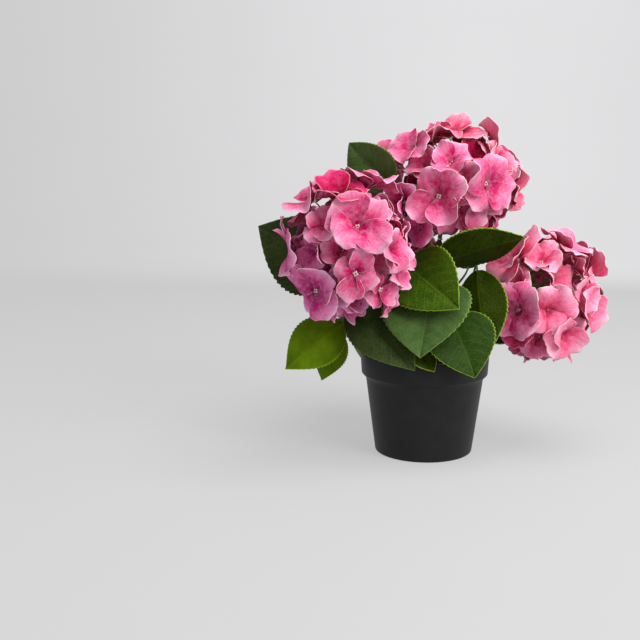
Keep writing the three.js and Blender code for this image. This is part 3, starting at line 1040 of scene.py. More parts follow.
@dataclass
class ClothFloret:
    """A floret of cloth: its way from the head's middle, its pip, and its petals."""

    way: np.ndarray
    normal: np.ndarray
    pip: np.ndarray
    petals: list[ClothPetal]
    hue: PetalHue
    steps: int
    rough_steps: int = 6
    rough: np.ndarray = field(init=False)
    tree: BVHTree = field(init=False)

    def __post_init__(self) -> None:
        """Works out a coarse copy of the petals to test for room with."""
        grids = [petal.surface(*petal.disc(self.rough_steps)) for petal in self.petals]
        self.rough = np.concatenate([grid.reshape(-1, 3) for grid in grids])
        face = grid_faces(self.rough_steps, self.rough_steps)
        faces = np.concatenate([face + i * self.rough_steps**2 for i in range(len(grids))])
        self.tree = BVHTree.FromPolygons(self.rough.tolist(), faces.tolist())

    def cuts(self, other: BVHTree) -> int:
        """Returns how many pairs of its faces and another tree's cut through each other."""
        return len(self.tree.overlap(other))

    def trim(self, leaves: Sequence[BVHTree]) -> None:
        """Leaves off the petals that would cut through a leaf.

        Args:
            leaves: the leaves' upper sides.
        """
        cut = [leaf for leaf in leaves if self.cuts(leaf)]
        if cut:
            self.petals = [petal for petal in self.petals
                           if not any(petal.tree(self.rough_steps).overlap(leaf) for leaf in cut)]


@dataclass(frozen=True)
class ClothHabit:
    """How cloth petals differ from the solids', in millimetres, degrees and shares; pairs are ranges."""

    pip_forward: float = 5
    pip_back: float = 8
    stagger: float = 0.7
    turn: tuple[float, float] = (-9, 9)
    size: float = 1.12
    length: tuple[float, float] = (0.88, 1.08)
    width: tuple[float, float] = (0.88, 1.14)
    open_lift: float = 4
    cupped_lift: float = 44
    alternate_lift: float = 9
    lift: tuple[float, float] = (-16, 16)
    steepest: float = 66
    open_curl: float = 18
    cupped_curl: float = 36
    curl: tuple[float, float] = (-16, 30)
    base_hollow: tuple[float, float] = (0.2, 1.1)
    tip_hollow: tuple[float, float] = (-1.9, 0.7)
    twist: tuple[float, float] = (-30, 30)
    fold: tuple[float, float] = (-0.12, 0.35)


@dataclass
class Floret:
    """A floret: its way from the head's middle, its pip, and its four petals."""

    way: np.ndarray
    normal: np.ndarray
    pip: np.ndarray
    petals: list[Petal]
    hue: PetalHue
    share: float
    notch: float = 0.42
    shoulder: float = 0.55
    habit: ClothHabit = ClothHabit()

    def in_cloth(self, pose: Pose, steps: int) -> ClothFloret:
        """The floret in cloth, with its pip set back to make room for petals that rise further.

        Args:
            pose: how its petals stand.
            steps: points along each side of a petal's grid.

        Returns:
            The cloth floret.
        """
        habit = self.habit
        normal = unit(self.normal - UPLIFT * min(self.normal[2], 0) * UP)
        pip = self.pip - (habit.pip_back * pose.cup + pose.sink - habit.pip_forward) * normal
        size = pose.size / self.share
        petals = []
        for i, petal in enumerate(self.petals):
            rng = np.random.default_rng(petal.seed)
            outward = petal.outward + math.radians(rng.uniform(*habit.turn)) * petal.sideways
            outward = unit(outward - normal * (outward @ normal))
            lift = habit.open_lift + habit.cupped_lift * pose.cup + habit.alternate_lift * (i % 2)
            petals.append(ClothPetal(
                pip=pip + (habit.stagger * (i % 2) - 1) * normal, normal=normal,
                outward=outward, sideways=np.cross(normal, outward),
                length=habit.size * size * petal.length * rng.uniform(*habit.length),
                half_width=habit.size * size * petal.half_width * rng.uniform(*habit.width),
                lift=min(lift + rng.uniform(*habit.lift), habit.steepest),
                curl=habit.open_curl + habit.cupped_curl * pose.cup + rng.uniform(*habit.curl),
                base_hollow=rng.uniform(*habit.base_hollow), tip_hollow=rng.uniform(*habit.tip_hollow),
                twist=rng.uniform(*habit.twist), fold=rng.uniform(*habit.fold), seed=petal.seed))
        return ClothFloret(self.way, normal, pip, petals, self.hue, steps)

    def rim(self) -> np.ndarray:
        """Points round the floret: a notch before each petal, then its shoulder, tip and other shoulder.

        Returns:
            Sixteen rows of three.
        """
        rim = []
        for i, petal in enumerate(self.petals):
            rim.append((petal.point(self.notch, 0) + self.petals[i - 1].point(self.notch, 0)) / 2)
            rim += [petal.point(self.shoulder, -1), petal.point(1, 0), petal.point(self.shoulder, 1)]
        return np.array(rim)


@dataclass
class Bloom:
    """A flower head: stem, rays, a stalk to each floret, and the florets' petals and pips."""

    head: Head
    others: Sequence[Head]
    leaves: Sequence[BVHTree]
    standing: list[ClothFloret]
    reach: float = 68.0
    pip_reach: float = 55.0
    pip_spread: float = 3.0
    hub_reach: float = 16.0
    ray_reach: float = 20.0
    rays: int = 6
    ray_fan: float = 78.0
    limit: float = 124.0
    spacing: float = 42.0
    overlap: float = 30.0
    candidates: int = 160
    level_step: float = 9.0
    tilt: float = 12.0
    plane_gap: float = 1.0
    depths: tuple[float, ...] = (0, 5, 10)
    sizes: tuple[float, ...] = (1, 0.85, 0.7)
    size_range: tuple[float, float] = (1, 0.1)
    petal: float = 29.0
    length_range: tuple[float, float] = (1, 0.06)
    half_width: float = 16.0
    width_range: tuple[float, float] = (1, 0.08)
    lift: float = 12.0
    lift_spread: float = 8.0
    lift_step: float = 7.0
    level_drop: float = 8.0
    turn_spread: float = 5.0
    curl_range: tuple[float, float] = (0.2, 0.1)
    hollow_range: tuple[float, float] = (3.6, 2)
    # Painted light: an outer floret's pink follows the way it looks, warmer up and right where warm light
    # falls, cooler down and left in shade, with a random spread
    warm_light_way: Triple = (0.55, 0.0, 0.6)
    warm_spread: float = 0.5
    warm_light_from: float = 0.42
    cool_shade_to: float = -0.3
    outer_cups: tuple[float, float] = (0.35, 0.55)
    inner_first: int = 500
    inner_depth: float = 3.0
    inner_spacing: float = 22.0
    inner_limit: float = 138.0
    inner_candidates: int = 500
    near: float = 3.0
    slack: float = 8.0
    crowd_limit: int = 14
    stem_radius: float = 2.0
    stem_steps: int = 7
    stem_sides: int = 12
    ray_radius: float = 1.4
    ray_steps: int = 5
    ray_sides: int = 10
    stalk_radius: float = 0.9
    stalk_taper: float = 0.6
    stalk_bend: float = 0.4
    stalk_steps: int = 8
    stalk_sides: int = 8
    pip_radius: float = 2.7
    pip_raise: float = 1.0
    pip_hollow: float = 1.3
    pip_lobe: float = 0.22
    pip_sides: int = 24
    pip_profile: tuple[tuple[float, float], ...] = (
        (0.55, -2.2), (0.8, 0.4), (1.0, 0.9), (0.85, 1.5), (0.4, 1.6))
    outer_steps: int = 18
    inner_steps: int = 12

    def petals(self, pip: np.ndarray, normal: np.ndarray, spin: float, level: int, share: float,
               seed: int) -> list[Petal]:
        """The four petals of a floret, drawn as the solids' are.

        Args:
            pip: the floret's middle.
            normal: the way it looks.
            spin: turn of its first petal in degrees.
            level: 0 for an outermost floret, 1 for a deeper and flatter one.
            share: the floret's share of its full size.
            seed: start of its row of random numbers.

        Returns:
            The petals.
        """
        draw = Draw(seed)
        up = unit(UP - normal * normal[2])
        right = np.cross(up, normal)
        size = share * draw.vary(*self.size_range)
        opening = draw.vary(self.lift - level * self.level_drop, self.lift_spread)
        petals = []
        for quarter in range(4):
            angle = math.radians(draw.vary(spin + 90 * quarter, self.turn_spread))
            outward = math.cos(angle) * right + math.sin(angle) * up
            petals.append(Petal(
                pip=pip, normal=normal, outward=outward, sideways=np.cross(normal, outward),
                length=self.petal * size * draw.vary(*self.length_range),
                half_width=self.half_width * size * draw.vary(*self.width_range),
                lift=opening + (quarter % 2) * self.lift_step, curl=draw.vary(*self.curl_range),
                hollow=draw.vary(*self.hollow_range), seed=seed * 4 + quarter))
        return petals

    def spiral(self, candidates: int, limit: float, turn: float) -> Iterator[np.ndarray]:
        """Ways spread evenly round the head's axis.

        Args:
            candidates: how many ways to give.
            limit: how far from the axis the last one lies, in degrees.
            turn: the first one's turn about the axis, in radians.

        Yields:
            Each way as a unit vector.
        """
        for i in range(candidates):
            drop = (1 - math.cos(math.radians(limit))) * (i + 0.5) / candidates
            yield self.head.around(math.acos(1 - drop), i * math.pi * (3 - math.sqrt(5)) + turn)

    def outer_headings(self) -> list[tuple[np.ndarray, float, int]]:
        """Ways, spins and levels of the outer florets, picked as the solids' are.

        Returns:
            The facing florets first, then those that the spiral adds.
        """
        chosen = [(direction(heading, rise), spin, level)
                  for heading, rise, spin, level in self.head.facing]
        bare = [(direction(heading, rise), spread) for heading, rise, spread in self.head.bare]
        draw = Draw(self.head.seed)
        for way in self.spiral(self.candidates, self.limit, self.head.seed):
            spin = 90 * draw.share()
            is_open = all(angle_between(way, patch) > spread for patch, spread in bare)
            is_clear = all(angle_between(way, other) > (self.spacing if level == 0 else self.overlap)
                           for other, _, level in chosen)
            if is_open and is_clear:
                chosen.append((way, spin, 0))
        return chosen

    def strays(self, points: np.ndarray, slack: float = 0.0) -> int:
        """How many points leave the head's ball or its side of a neighbour.

        Args:
            points: the points to test.
            slack: how far outside they may lie.

        Returns:
            Their number.
        """
        offset = points - self.head.middle
        outside = np.linalg.norm(offset / self.head.shape, axis=1) >= self.reach + slack
        for other in self.others:
            across = other.middle - self.head.middle
            far = np.linalg.norm(across)
            share = self.head.weight / (self.head.weight + other.weight)
            outside |= offset @ across >= far * (far * share - self.plane_gap + 2 * slack)
        return int(outside.sum())

    def floret(self, index: int, heading: tuple[np.ndarray, float, int], depth: float, share: float,
               steady: bool, hue: PetalHue) -> Floret:
        """One floret, drawn as the solids' are.

        Args:
            index: its number in the head.
            heading: its way, spin and level.
            depth: how far its pip stops short of the full reach.
            share: its share of its full size.
            steady: whether it looks straight out, without a lean.
            hue: the pink that it is dyed in.

        Returns:
            The floret.
        """
        way, spin, level = heading
        draw = Draw(self.head.seed * 1000 + index)
        lean = np.array([draw.vary(0, 1), draw.vary(0, 1), draw.vary(0, 1)])
        lean *= 0 if steady else math.tan(math.radians(self.tilt))
        lean[2] -= UPLIFT * min(way[2], 0) if steady else 0
        depth += level * self.level_step + (0 if steady else self.pip_spread * draw.share())
        normal = unit(way / self.head.shape + lean)
        pip = self.head.middle + way * self.head.shape * (self.pip_reach - depth)
        petals = self.petals(pip, normal, spin, level, share, self.head.seed * 100 + index)
        return Floret(way, normal, pip, petals, hue, share)

    def hue(self, way: np.ndarray, index: int) -> PetalHue:
        """The pink of an outer floret, partly random and partly painted light: warmer where it looks right
        and up into warm light, cooler left and down in shade.

        Args:
            way: its way from the head's middle.
            index: its number in the head.

        Returns:
            The hue.
        """
        stray = Draw(self.head.seed * 7 + index).share() - 0.5
        light_warmth = float(way @ np.array(self.warm_light_way)) + self.warm_spread * stray
        if light_warmth > self.warm_light_from:
            return self.head.hues[2]
        return self.head.hues[0] if light_warmth < self.cool_shade_to else self.head.hues[1]

    def kept(self, index: int, heading: tuple[np.ndarray, float, int], depth: float, hue: PetalHue
             ) -> list[Floret]:
        """Draws a floret in by steps, then makes it smaller, where a petal would leave the head's space.

        Args:
            index: its number in the head.
            heading: its way, spin and level.
            depth: the least that it stops short of the full reach.
            hue: the pink that it is dyed in.

        Returns:
            A list with the floret, or an empty one where no step has room for it.
        """
        for share in self.sizes:
            for inward in self.depths:
                floret = self.floret(index, heading, depth + inward, share, False, hue)
                if not self.strays(floret.rim()):
                    return [floret]
        return []

    def settled(self, floret: Floret, poses: Sequence[Pose], placed: Sequence[ClothFloret],
                steps: int) -> tuple[int, ClothFloret]:
        """Stands a floret's petals so that they cut through as few others as they can.

        Args:
            floret: the floret.
            poses: the ways it may stand, the best liked first.
            placed: the florets that stand already.
            steps: points along each side of a petal's grid.

        Returns:
            How crowded it still is, and the cloth floret.
        """
        trees = [other.tree for other in (*self.standing, *placed)
                 if np.linalg.norm(other.pip - floret.pip) < self.near * self.petal]
        trees += self.leaves
        best = None
        for pose in poses:
            cloth = floret.in_cloth(pose, steps)
            crowding = self.strays(cloth.rough, self.slack) + sum(cloth.cuts(tree) for tree in trees)
            if best is None or crowding < best[0]:
                best = (crowding, cloth)
            if crowding == 0:
                break
        return best

    def outer_poses(self, cup: float) -> list[Pose]:
        """The ways an outer floret may stand.

        Args:
            cup: how cupped it would best be.

        Returns:
            The poses, the best liked first.
        """
        return [Pose(cup, -2), Pose(cup), Pose(cup + 0.2), Pose(cup, 3), Pose(cup + 0.2, 2, 0.92),
                Pose(cup - 0.2, 6, 0.92), Pose(1.1, 5, 0.92), Pose(1.3, 3, 0.85), Pose(0.4, 8, 0.85),
                Pose(1.2, 8, 0.8), Pose(1, 8, 0.7), Pose(1.2, 14, 0.7)]

    def inner_poses(self) -> list[Pose]:
        """Returns the ways an inner floret may stand, the best liked first."""
        return [Pose(cup, sink, size)
                for size in (0.95, 0.8, 0.65) for sink in (0, 6) for cup in (1.2, 0.9, 0.6)]

    def outer_florets(self, rng: np.random.Generator) -> list[ClothFloret]:
        """The outer florets: the facing ones, then those of the spiral.

        Args:
            rng: gives the cups.

        Returns:
            The florets.
        """
        placed: list[ClothFloret] = []
        least, spread = self.outer_cups
        for index, heading in enumerate(self.outer_headings()):
            hue = self.hue(heading[0], index)
            cup = least + spread * rng.random()
            if index < len(self.head.facing):
                cup = self.head.cups[index]
                kept = [self.floret(index, heading, 0.0, 1.0, True, hue)]
            else:
                kept = self.kept(index, heading, 0.0, hue)
            for floret in kept:
                placed.append(self.settled(floret, self.outer_poses(cup), placed, self.outer_steps)[1])
        return placed

    def add_inner(self, placed: list[ClothFloret], rng: np.random.Generator) -> None:
        """Adds the deeper florets that show between the outer ones.

        Args:
            placed: the florets that stand already, which the new ones join.
            rng: gives the hues and spins.
        """
        ways = [cloth.way for cloth in placed]
        for i, way in enumerate(self.spiral(self.inner_candidates, self.inner_limit, 1)):
            if min(angle_between(way, other) for other in ways) < self.inner_spacing:
                continue
            # Painted shade: a share of the inner florets take the dark raspberry pink for their place deep
            # in the head.
            hue = PetalHue.RASPBERRY if rng.random() < self.head.shaded_share else self.hue(way, i)
            heading = (way, 90 * rng.random(), 0)
            for floret in self.kept(self.inner_first + i, heading, self.inner_depth, hue):
                crowding, cloth = self.settled(floret, self.inner_poses(), placed, self.inner_steps)
                if crowding < self.crowd_limit:
                    placed.append(cloth)
                    ways.append(cloth.way)

    def florets(self) -> list[ClothFloret]:
        """All the head's florets, without the petals that would cut through a leaf.

        Returns:
            The florets.
        """
        rng = np.random.default_rng(self.head.seed)
        placed = self.outer_florets(rng)
        self.add_inner(placed, rng)
        for cloth in placed:
            cloth.trim(self.leaves)
        self.standing += placed
        return [cloth for cloth in placed if cloth.petals]

    def build_petals(self, florets: Sequence[ClothFloret]) -> None:
        """Builds the piece with all the head's petals.

        Args:
            florets: the head's florets.
        """
        batch = MeshBatch(f"petals_{self.head.name}")
        cells = bake_cells(4 * len(florets))
        for floret in florets:
            for petal in floret.petals:
                petal.blade(floret.steps, 2 * floret.hue.value, next(cells)).add_to(batch)
        claim(batch.piece(faces_and_edges(PETAL_FINISHES, PetalHue)), f"bloom_{self.head.name}")

    def build_stalks(self, florets: Sequence[ClothFloret]) -> None:
        """Builds the piece with the head's stem, its rays and each floret's stalk.

        Args:
            florets: the head's florets.
        """
        head = self.head
        batch = MeshBatch(f"stalks_{head.name}")
        hub = head.middle - self.hub_reach * head.axis
        foot, top = head.foot + GAP * head.axis, hub + self.stem_radius * head.axis
        stem = np.linspace(foot, top, self.stem_steps + 1)
        batch.add(*tube(stem, np.full(self.stem_steps + 1, self.stem_radius), self.stem_sides))
        fans = [0.0] + [math.radians(self.ray_fan)] * (self.rays - 1)
        turns = [2 * math.pi * i / (self.rays - 1) + head.seed for i in range(self.rays)]
        ways = [head.around(fan, turn) for fan, turn in zip(fans, turns)]
        ends = [head.middle + self.ray_reach * way for way in ways]
        for end in ends:
            ray = np.linspace(hub, end, self.ray_steps + 1)
            batch.add(*tube(ray, np.full(self.ray_steps + 1, self.ray_radius), self.ray_sides))
        radii = np.linspace(self.stalk_radius, self.stalk_taper * self.stalk_radius, self.stalk_steps + 1)
        for floret in florets:
            nearest = min(range(self.rays), key=lambda i: angle_between(ways[i], floret.way))
            start = ends[nearest] - self.ray_radius * floret.way
            bend = floret.pip - self.stalk_bend * np.linalg.norm(floret.pip - start) * floret.normal
            line = bezier([start, bend, floret.pip - GAP * floret.normal], self.stalk_steps)
            batch.add(*tube(line, radii, self.stalk_sides))
        claim(batch.piece([STALK_FINISH.material()]), f"bloom_{head.name}")

    def build_pips(self, florets: Sequence[ClothFloret]) -> None:
        """Builds the piece with the small four-lobed bead in the middle of each floret.

        Args:
            florets: the head's florets.
        """
        batch = MeshBatch(f"pips_{self.head.name}")
        turn = np.linspace(0, 2 * np.pi, self.pip_sides, endpoint=False)
        lobes = 1 - self.pip_lobe + self.pip_lobe * np.cos(4 * turn)
        for floret in florets:
            petal = floret.petals[0]
            ring = np.cos(turn)[:, None] * petal.outward + np.sin(turn)[:, None] * petal.sideways
            seat = floret.pip + self.pip_raise * floret.normal
            rings = [seat + z * floret.normal + self.pip_radius * r * lobes[:, None] * ring
                     for r, z in self.pip_profile]
            poles = [seat + z * floret.normal for z in (self.pip_profile[0][1], self.pip_hollow)]
            points = np.concatenate([poles[:1], *rings, poles[1:]])
            batch.add(points, lofted_faces(len(rings), self.pip_sides))
        claim(batch.piece([PIP_FINISH.material()]), f"bloom_{self.head.name}")

    def build(self) -> None:
        """Builds the head's pieces."""
        florets = self.florets()
        log.info("head %s has %d florets", self.head.name, len(florets))
        self.build_petals(florets)
        self.build_stalks(florets)
        self.build_pips(florets)


@dataclass
class Bough:
    """One tapering limb from the main stem's top to the foot of a head's own stem."""

    head: Head
    stem_top: float
    radius: float = 2.6
    tip_radius: float = 2.0
    offset: float = 4.2
    rise: float = 26.0
    flat_rise: float = 0.4
    ribs: int = 3
    ring_pitch: float = 1.3
    relief: float = 0.02
    steps: int = 60
    sides: int = 20

    def build(self) -> None:
        """Builds the limb's piece, with faint rings and ribs."""
        start = self.offset * direction(self.head.start, 0) + (self.stem_top + GAP) * UP
        above = start + self.rise * (self.flat_rise + (1 - self.flat_rise) * self.head.axis[2]) * UP
        before = self.head.foot - self.rise * self.head.axis
        line = bezier([start, above, before, self.head.foot], self.steps)
        radii = np.linspace(self.radius, self.tip_radius, self.steps + 1)
        row, column = np.meshgrid(np.arange(self.steps + 1), np.arange(self.sides), indexing="ij")
        ribbed = self.relief * np.cos(self.ribs * 2 * np.pi * column / self.sides)
        relief = 1 - self.relief + ribbed - self.relief * np.cos(row * self.ring_pitch) ** 8
        batch = MeshBatch(f"limb_{self.head.name}")
        batch.add(*tube(line, radii, self.sides, relief))
        claim(batch.piece([STEM_FINISH.material()]), f"bough_{self.head.name}")


@dataclass
class Leaf:
    """A leaf blade: the two ends of its rib, the way its halves fold, its width, its arch and its green."""

    root: Triple
    tip: Triple
    face: Triple
    width: float
    arch: float
    hue: LeafHue
    thickness: float = 0.8
    fold: float = 0.16
    skew: float = 0.8
    blunt: float = 0.75
    tip_blunt: float = 0.2
    ends: tuple[float, float] = (0.012, 0.996)
    rib_crowding: float = 0.85
    teeth: int = 19
    tooth: float = 0.05
    vein_pairs: int = 7
    vein_slant: float = 0.20
    vein_bend: float = 0.24
    vein_stagger: float = 0.25
    quilt: float = 0.55
    groove: float = 0.9
    groove_width: float = 1.3
    wave: float = 1.3
    waves: int = 7
    along: int = 116
    across: int = 21

    def rib(self) -> tuple[list[np.ndarray], np.ndarray]:
        """Control points of the rib's curve and the way the halves fold.

        Returns:
            The three control points, and the unit vector.
        """
        root, tip = np.array(self.root, dtype=float), np.array(self.tip, dtype=float)
        along = unit(tip - root)
        face = np.array(self.face, dtype=float)
        face = unit(face - along * (face @ along))
        return [root, (root + tip) / 2 + 2 * self.arch * face, tip], face

    def teeth_at(self, u: np.ndarray) -> np.ndarray:
        """How far the toothed edge stands out.

        Args:
            u: places along the leaf.

        Returns:
            The shares of its half width.
        """
        saw = (u * self.teeth) % 1
        climb = self.tooth * np.clip(saw * 1.25, 0, 1)
        return climb * np.clip((1 - saw) * 5, 0, 1) * np.sin(np.pi * u) ** 0.4

    def frame(self, t: np.ndarray) -> tuple[np.ndarray, np.ndarray, np.ndarray]:
        """The rib's curve and the ways across it.

        Args:
            t: places along the rib from 0 to 1, one to a row.

        Returns:
            For each place its point, the way to the leaf's left and the way up from it.
        """
        corners, face = self.rib()
        line = (1 - t) ** 2 * corners[0] + 2 * t * (1 - t) * corners[1] + t**2 * corners[2]
        tangent = (1 - t) * (corners[1] - corners[0]) + t * (corners[2] - corners[1])
        tangent /= np.linalg.norm(tangent, axis=1)[:, None]
        up = face - tangent * (tangent @ face)[:, None]
        up /= np.linalg.norm(up, axis=1)[:, None]
        return line, np.cross(up, tangent), up

    def relief(self, u: np.ndarray, v: np.ndarray, half: np.ndarray, slant: np.ndarray,
               rng: np.random.Generator) -> np.ndarray:
        """How high the blade stands over its rib: fold, quilting between veins, groove and wavy edge.

        Args:
            u: places along it.
            v: places across it, from -1 to 1.
            half: half its width there in millimetres.
            slant: how many side veins lie between the root and there.
            rng: gives the turns of the waves.

        Returns:
            The heights in millimetres.
        """
        from_vein = np.abs((slant % 1) - 0.5) * 2
        quilt = self.quilt * (1 - from_vein**4) * np.abs(v) ** 0.5 * (1 - np.abs(v) ** 4)
        groove = -self.groove * np.exp(-((v * half / self.groove_width) ** 2))
        turn = rng.uniform(0, 2 * np.pi, 4)
        swing = np.sin(self.waves * u + np.where(v > 0, turn[0], turn[1]))
        wave = self.wave * v**2 * swing * np.sin(np.pi * u)
        return np.abs(v) * half * self.fold + quilt + groove + wave

    def blade(self, cell: Cell, seed: int) -> Blade:
        """Makes the leaf's thin form.

        Args:
            cell: corner and size of its place on the bake map.
            seed: start of its own random numbers.

        Returns:
            The blade.
        """
        rng = np.random.default_rng(seed)
        share = np.linspace(*self.ends, self.along)
        even = np.linspace(-1, 1, self.across)
        u, v = np.meshgrid(share, np.sign(even) * np.abs(even) ** self.rib_crowding, indexing="ij")
        line, sideways, up = self.frame(share[:, None])
        half = outline(u, self.skew, self.blunt + self.tip_blunt * u**3) * self.width / 2
        reach = half * (1 + self.teeth_at(u) * np.abs(v) ** 6)
        out = np.abs(v) * half / (self.width / 2)
        slant = (u - self.vein_slant * out - self.vein_bend * out**2) * self.vein_pairs
        slant += self.vein_stagger * np.sign(v)
        height = self.relief(u, v, half, slant, rng)
        top = line[:, None] + (v * reach)[..., None] * sideways[:, None] + height[..., None] * up[:, None]
        thick = (self.thickness / 2) * up[:, None]
        length = math.dist(self.root, self.tip)
        pattern = np.stack([u * length / PATTERN_SPAN, v * half / PATTERN_SPAN], -1)
        maps = {
            SHAPE_MAP: np.stack([half * (1 - np.abs(v)) / EDGE_SPAN, u], -1),
            PATTERN_MAP: pattern + rng.uniform(0, MAP_SHIFT, 2),
            VEIN_MAP: np.stack([slant + 0.5, np.abs(v) * half / EDGE_SPAN], -1),
        }
        slot = 2 * self.hue.value
        return Blade(top + thick, top - thick, maps, slot, slot + 1, cell)


@dataclass
class LeafShoot:
    """A leaf shoot: stem from the side of the main stem to a node, leaf stalks and blades."""

    name: str
    heading: float
    height: float
    node: Triple
    leaves: tuple[Leaf, ...]
    radius: float = 2.3
    reach: float = 12.0
    steps: int = 24
    sides: int = 14
    stalk_radius: float = 1.6
    stalk_tip: float = 0.5
    stalk_steps: int = 20
    stalk_sides: int = 10
    sag: float = 0.35
    sunk: float = 0.24
    rib_steps: int = 50
    seed: int = 100

    def blades(self) -> list[Blade]:
        """Returns the shoot's leaf blades, each with its own cell and seed."""
        cells = bake_cells(len(self.leaves))
        return [leaf.blade(next(cells), self.seed + i) for i, leaf in enumerate(self.leaves)]

    def build_stalks(self, stem: MainStem) -> None:
        """Builds the piece with the shoot's stem and its leaf stalks.

        Args:
            stem: the main stem that the shoot leaves from.
        """
        batch = MeshBatch(f"leafstalks_{self.name}")
        out = direction(self.heading, 0)
        start = out * (stem.radius_at(self.height) + GAP) + self.height * UP
        node = np.array(self.node, dtype=float)
        bend = start + self.reach * out
        past = node + self.stalk_radius * unit(node - bend)
        radii = np.linspace(self.radius, self.stalk_radius, self.steps + 1)
        batch.add(*tube(bezier([start, bend, past], self.steps), radii, self.sides))
        for leaf in self.leaves:
            corners, _ = leaf.rib()
            root = corners[0]
            before = root - self.sag * np.linalg.norm(root - node) * unit(corners[1] - root)
            seat = bezier(corners, self.rib_steps)[: round(self.rib_steps * self.sunk)]
            stalk = np.concatenate([bezier([node, before, root], self.stalk_steps)[:-1], seat])
            radii = np.linspace(self.stalk_radius, self.stalk_tip, len(stalk))
            batch.add(*tube(stalk, radii, self.stalk_sides))
        claim(batch.piece([STALK_FINISH.material()]), f"leaves_{self.name}")

    def build_blades(self) -> None:
        """Builds the piece with the shoot's leaf blades."""
        batch = MeshBatch(f"blades_{self.name}")
        for blade in self.blades():
            blade.add_to(batch)
        claim(batch.piece(faces_and_edges(LEAF_FINISHES, LeafHue)), f"leaves_{self.name}")

    def build(self, stem: MainStem) -> None:
        """Builds the shoot's pieces on the main stem."""
        self.build_stalks(stem)
        self.build_blades()


HEADS = (
    Head("left", (-66, -55, 197), (0.95, 1, 1.08), start=-140, seed=11,
         hues=(PetalHue.ORCHID, PetalHue.ROSE, PetalHue.ROSE),
         facing=((-78, 26, 48, 1), (-39, 3, 86, 0), (-55, -12, 52, 1), (-97, 4, 85, 0), (-116, 26, 51, 0),
                 (-48, 42, 20, 0), (-10, 33, 25, 1)),
         cups=(0.85, 0.75, 0.7, 0.7, 0.5, 0.8, 0.5), shaded_share=0.15),
    Head("top", (18, 14, 244), (1.12, 1, 1), start=40, seed=10,
         hues=(PetalHue.ORCHID, PetalHue.ROSE, PetalHue.SALMON),
         facing=((-98, -3, 30, 0), (-79, -16, 74, 1), (-78, 10, 48, 1), (-87, 34, 54, 0),
                 (-121, -35, 48, 0), (-55, -29, 34, 0), (-55, 9, 63, 0), (-139, -9, 36, 0)),
         cups=(0.9, 0.7, 0.8, 0.8, 0.3, 0.6, 0.8, 0.2),
         bare=((-170, 26, 21), (-150, -50, 22)), weight=1.12),
    # The right head's pale blush pinks are painted light, for the key light falling on it from the right.
    Head("right", (105, 16, 151), (0.88, 1, 1.07), start=-50, seed=37,
         hues=(PetalHue.ROSE, PetalHue.BLUSH, PetalHue.BLUSH),
         facing=((-137, 40, 79, 1), (-130, 13, 36, 0), (-120, -14, 38, 1), (-95, 44, 54, 0),
                 (-84, -14, 27, 1)),
         cups=(0.5, 0.5, 0.6, 0.8, 0.75), shaded_share=0.15),
    Head("back", (-42, 74, 176), (1, 0.98, 1), start=130, seed=51,
         hues=(PetalHue.ORCHID, PetalHue.ROSE, PetalHue.SALMON)),
)

SHOOTS = (
    LeafShoot("front", -90, 104, (-2, -25, 131), (
        Leaf((-20, -12, 178), (29, -72, 147), (-0.43, -0.73, 0.56), 62, 6, LeafHue.BRIGHT),
        Leaf((10, -20, 161), (-4, -76, 104), (-0.25, -0.6, 0.75), 80, 8, LeafHue.GREY),
        Leaf((20, -34, 136), (44, -70, 86), (0.1, -0.85, 0.5), 62, 6, LeafHue.RICH),
        Leaf((-67, -22, 140), (-8, -68, 91), (-0.25, -0.6, 0.75), 52, 6, LeafHue.DARK),
        Leaf((-11, -46, 112), (9, -66, 90), (-0.2, -0.6, 0.75), 26, 2, LeafHue.OLIVE),
    )),
    LeafShoot("left", 180, 104, (-48, 4, 130), (
        Leaf((-80, 24, 164), (-155, -8, 211), (-0.2, -0.95, 0.2), 76, 4, LeafHue.DARK),
        Leaf((-75, -22, 125), (-126, -38, 83), (0, 0.85, -0.5), 48, -8, LeafHue.LIME),
        Leaf((-81, -4, 114), (-95, -16, 68), (0.2, 0.9, -0.3), 32, -3, LeafHue.LIME),
        Leaf((-72, 14, 118), (-56, 44, 72), (0.7, 0.5, -0.5), 44, -4, LeafHue.LIME),
    )),
    LeafShoot("right", 0, 104, (36, -8, 119), (
        Leaf((46, -15, 174), (57, -47, 103), (0.4, 0.85, -0.35), 47, -5, LeafHue.OLIVE),
        Leaf((43, -6, 113), (80, 18, 103), (0, -0.5, 0.85), 36, 4, LeafHue.OLIVE),
    )),
    LeafShoot("top", -45, 112, (12, -8, 178), (
        Leaf((-32, -2, 248), (-72, 1, 287), (-0.35, -0.93, -0.18), 48, 3, LeafHue.GREY),
        Leaf((10, -15, 179), (85, -43, 207), (-0.28, 0.8, 0.53), 48, 2, LeafHue.OLIVE),
    )),
    LeafShoot("back", 90, 106, (2, 30, 130), (
        Leaf((-34, 42, 112), (-92, 84, 94), (-0.3, 0.4, 0.85), 54, 7, LeafHue.RICH),
        Leaf((-8, 46, 104), (-14, 116, 84), (0, 0.35, 0.93), 60, 8, LeafHue.GREY),
        Leaf((30, 42, 120), (74, 96, 100), (0.3, 0.4, 0.85), 66, 8, LeafHue.BRIGHT),
        Leaf((40, 54, 165), (66, 112, 190), (0.2, 0.6, 0.7), 58, 6, LeafHue.DARK),
    )),
)


@dataclass
class AreaLamp:
    """A square soft box."""

    name: str
    place: Triple
    aim: Triple
    size: float
    power: float
    colour: Colour = (1, 1, 1)

    def build(self) -> None:
        """Puts the lamp in the scene, looking at its aim."""
        lamp = bpy.data.lights.new(self.name, "AREA")
        lamp.size = self.size
        lamp.energy = self.power
        lamp.color = self.colour
        thing = bpy.data.objects.new(self.name, lamp)
        thing.location = self.place
        thing.rotation_euler = (Vector(self.aim) - Vector(self.place)).to_track_quat("-Z", "Y").to_euler()
        bpy.context.collection.objects.link(thing)


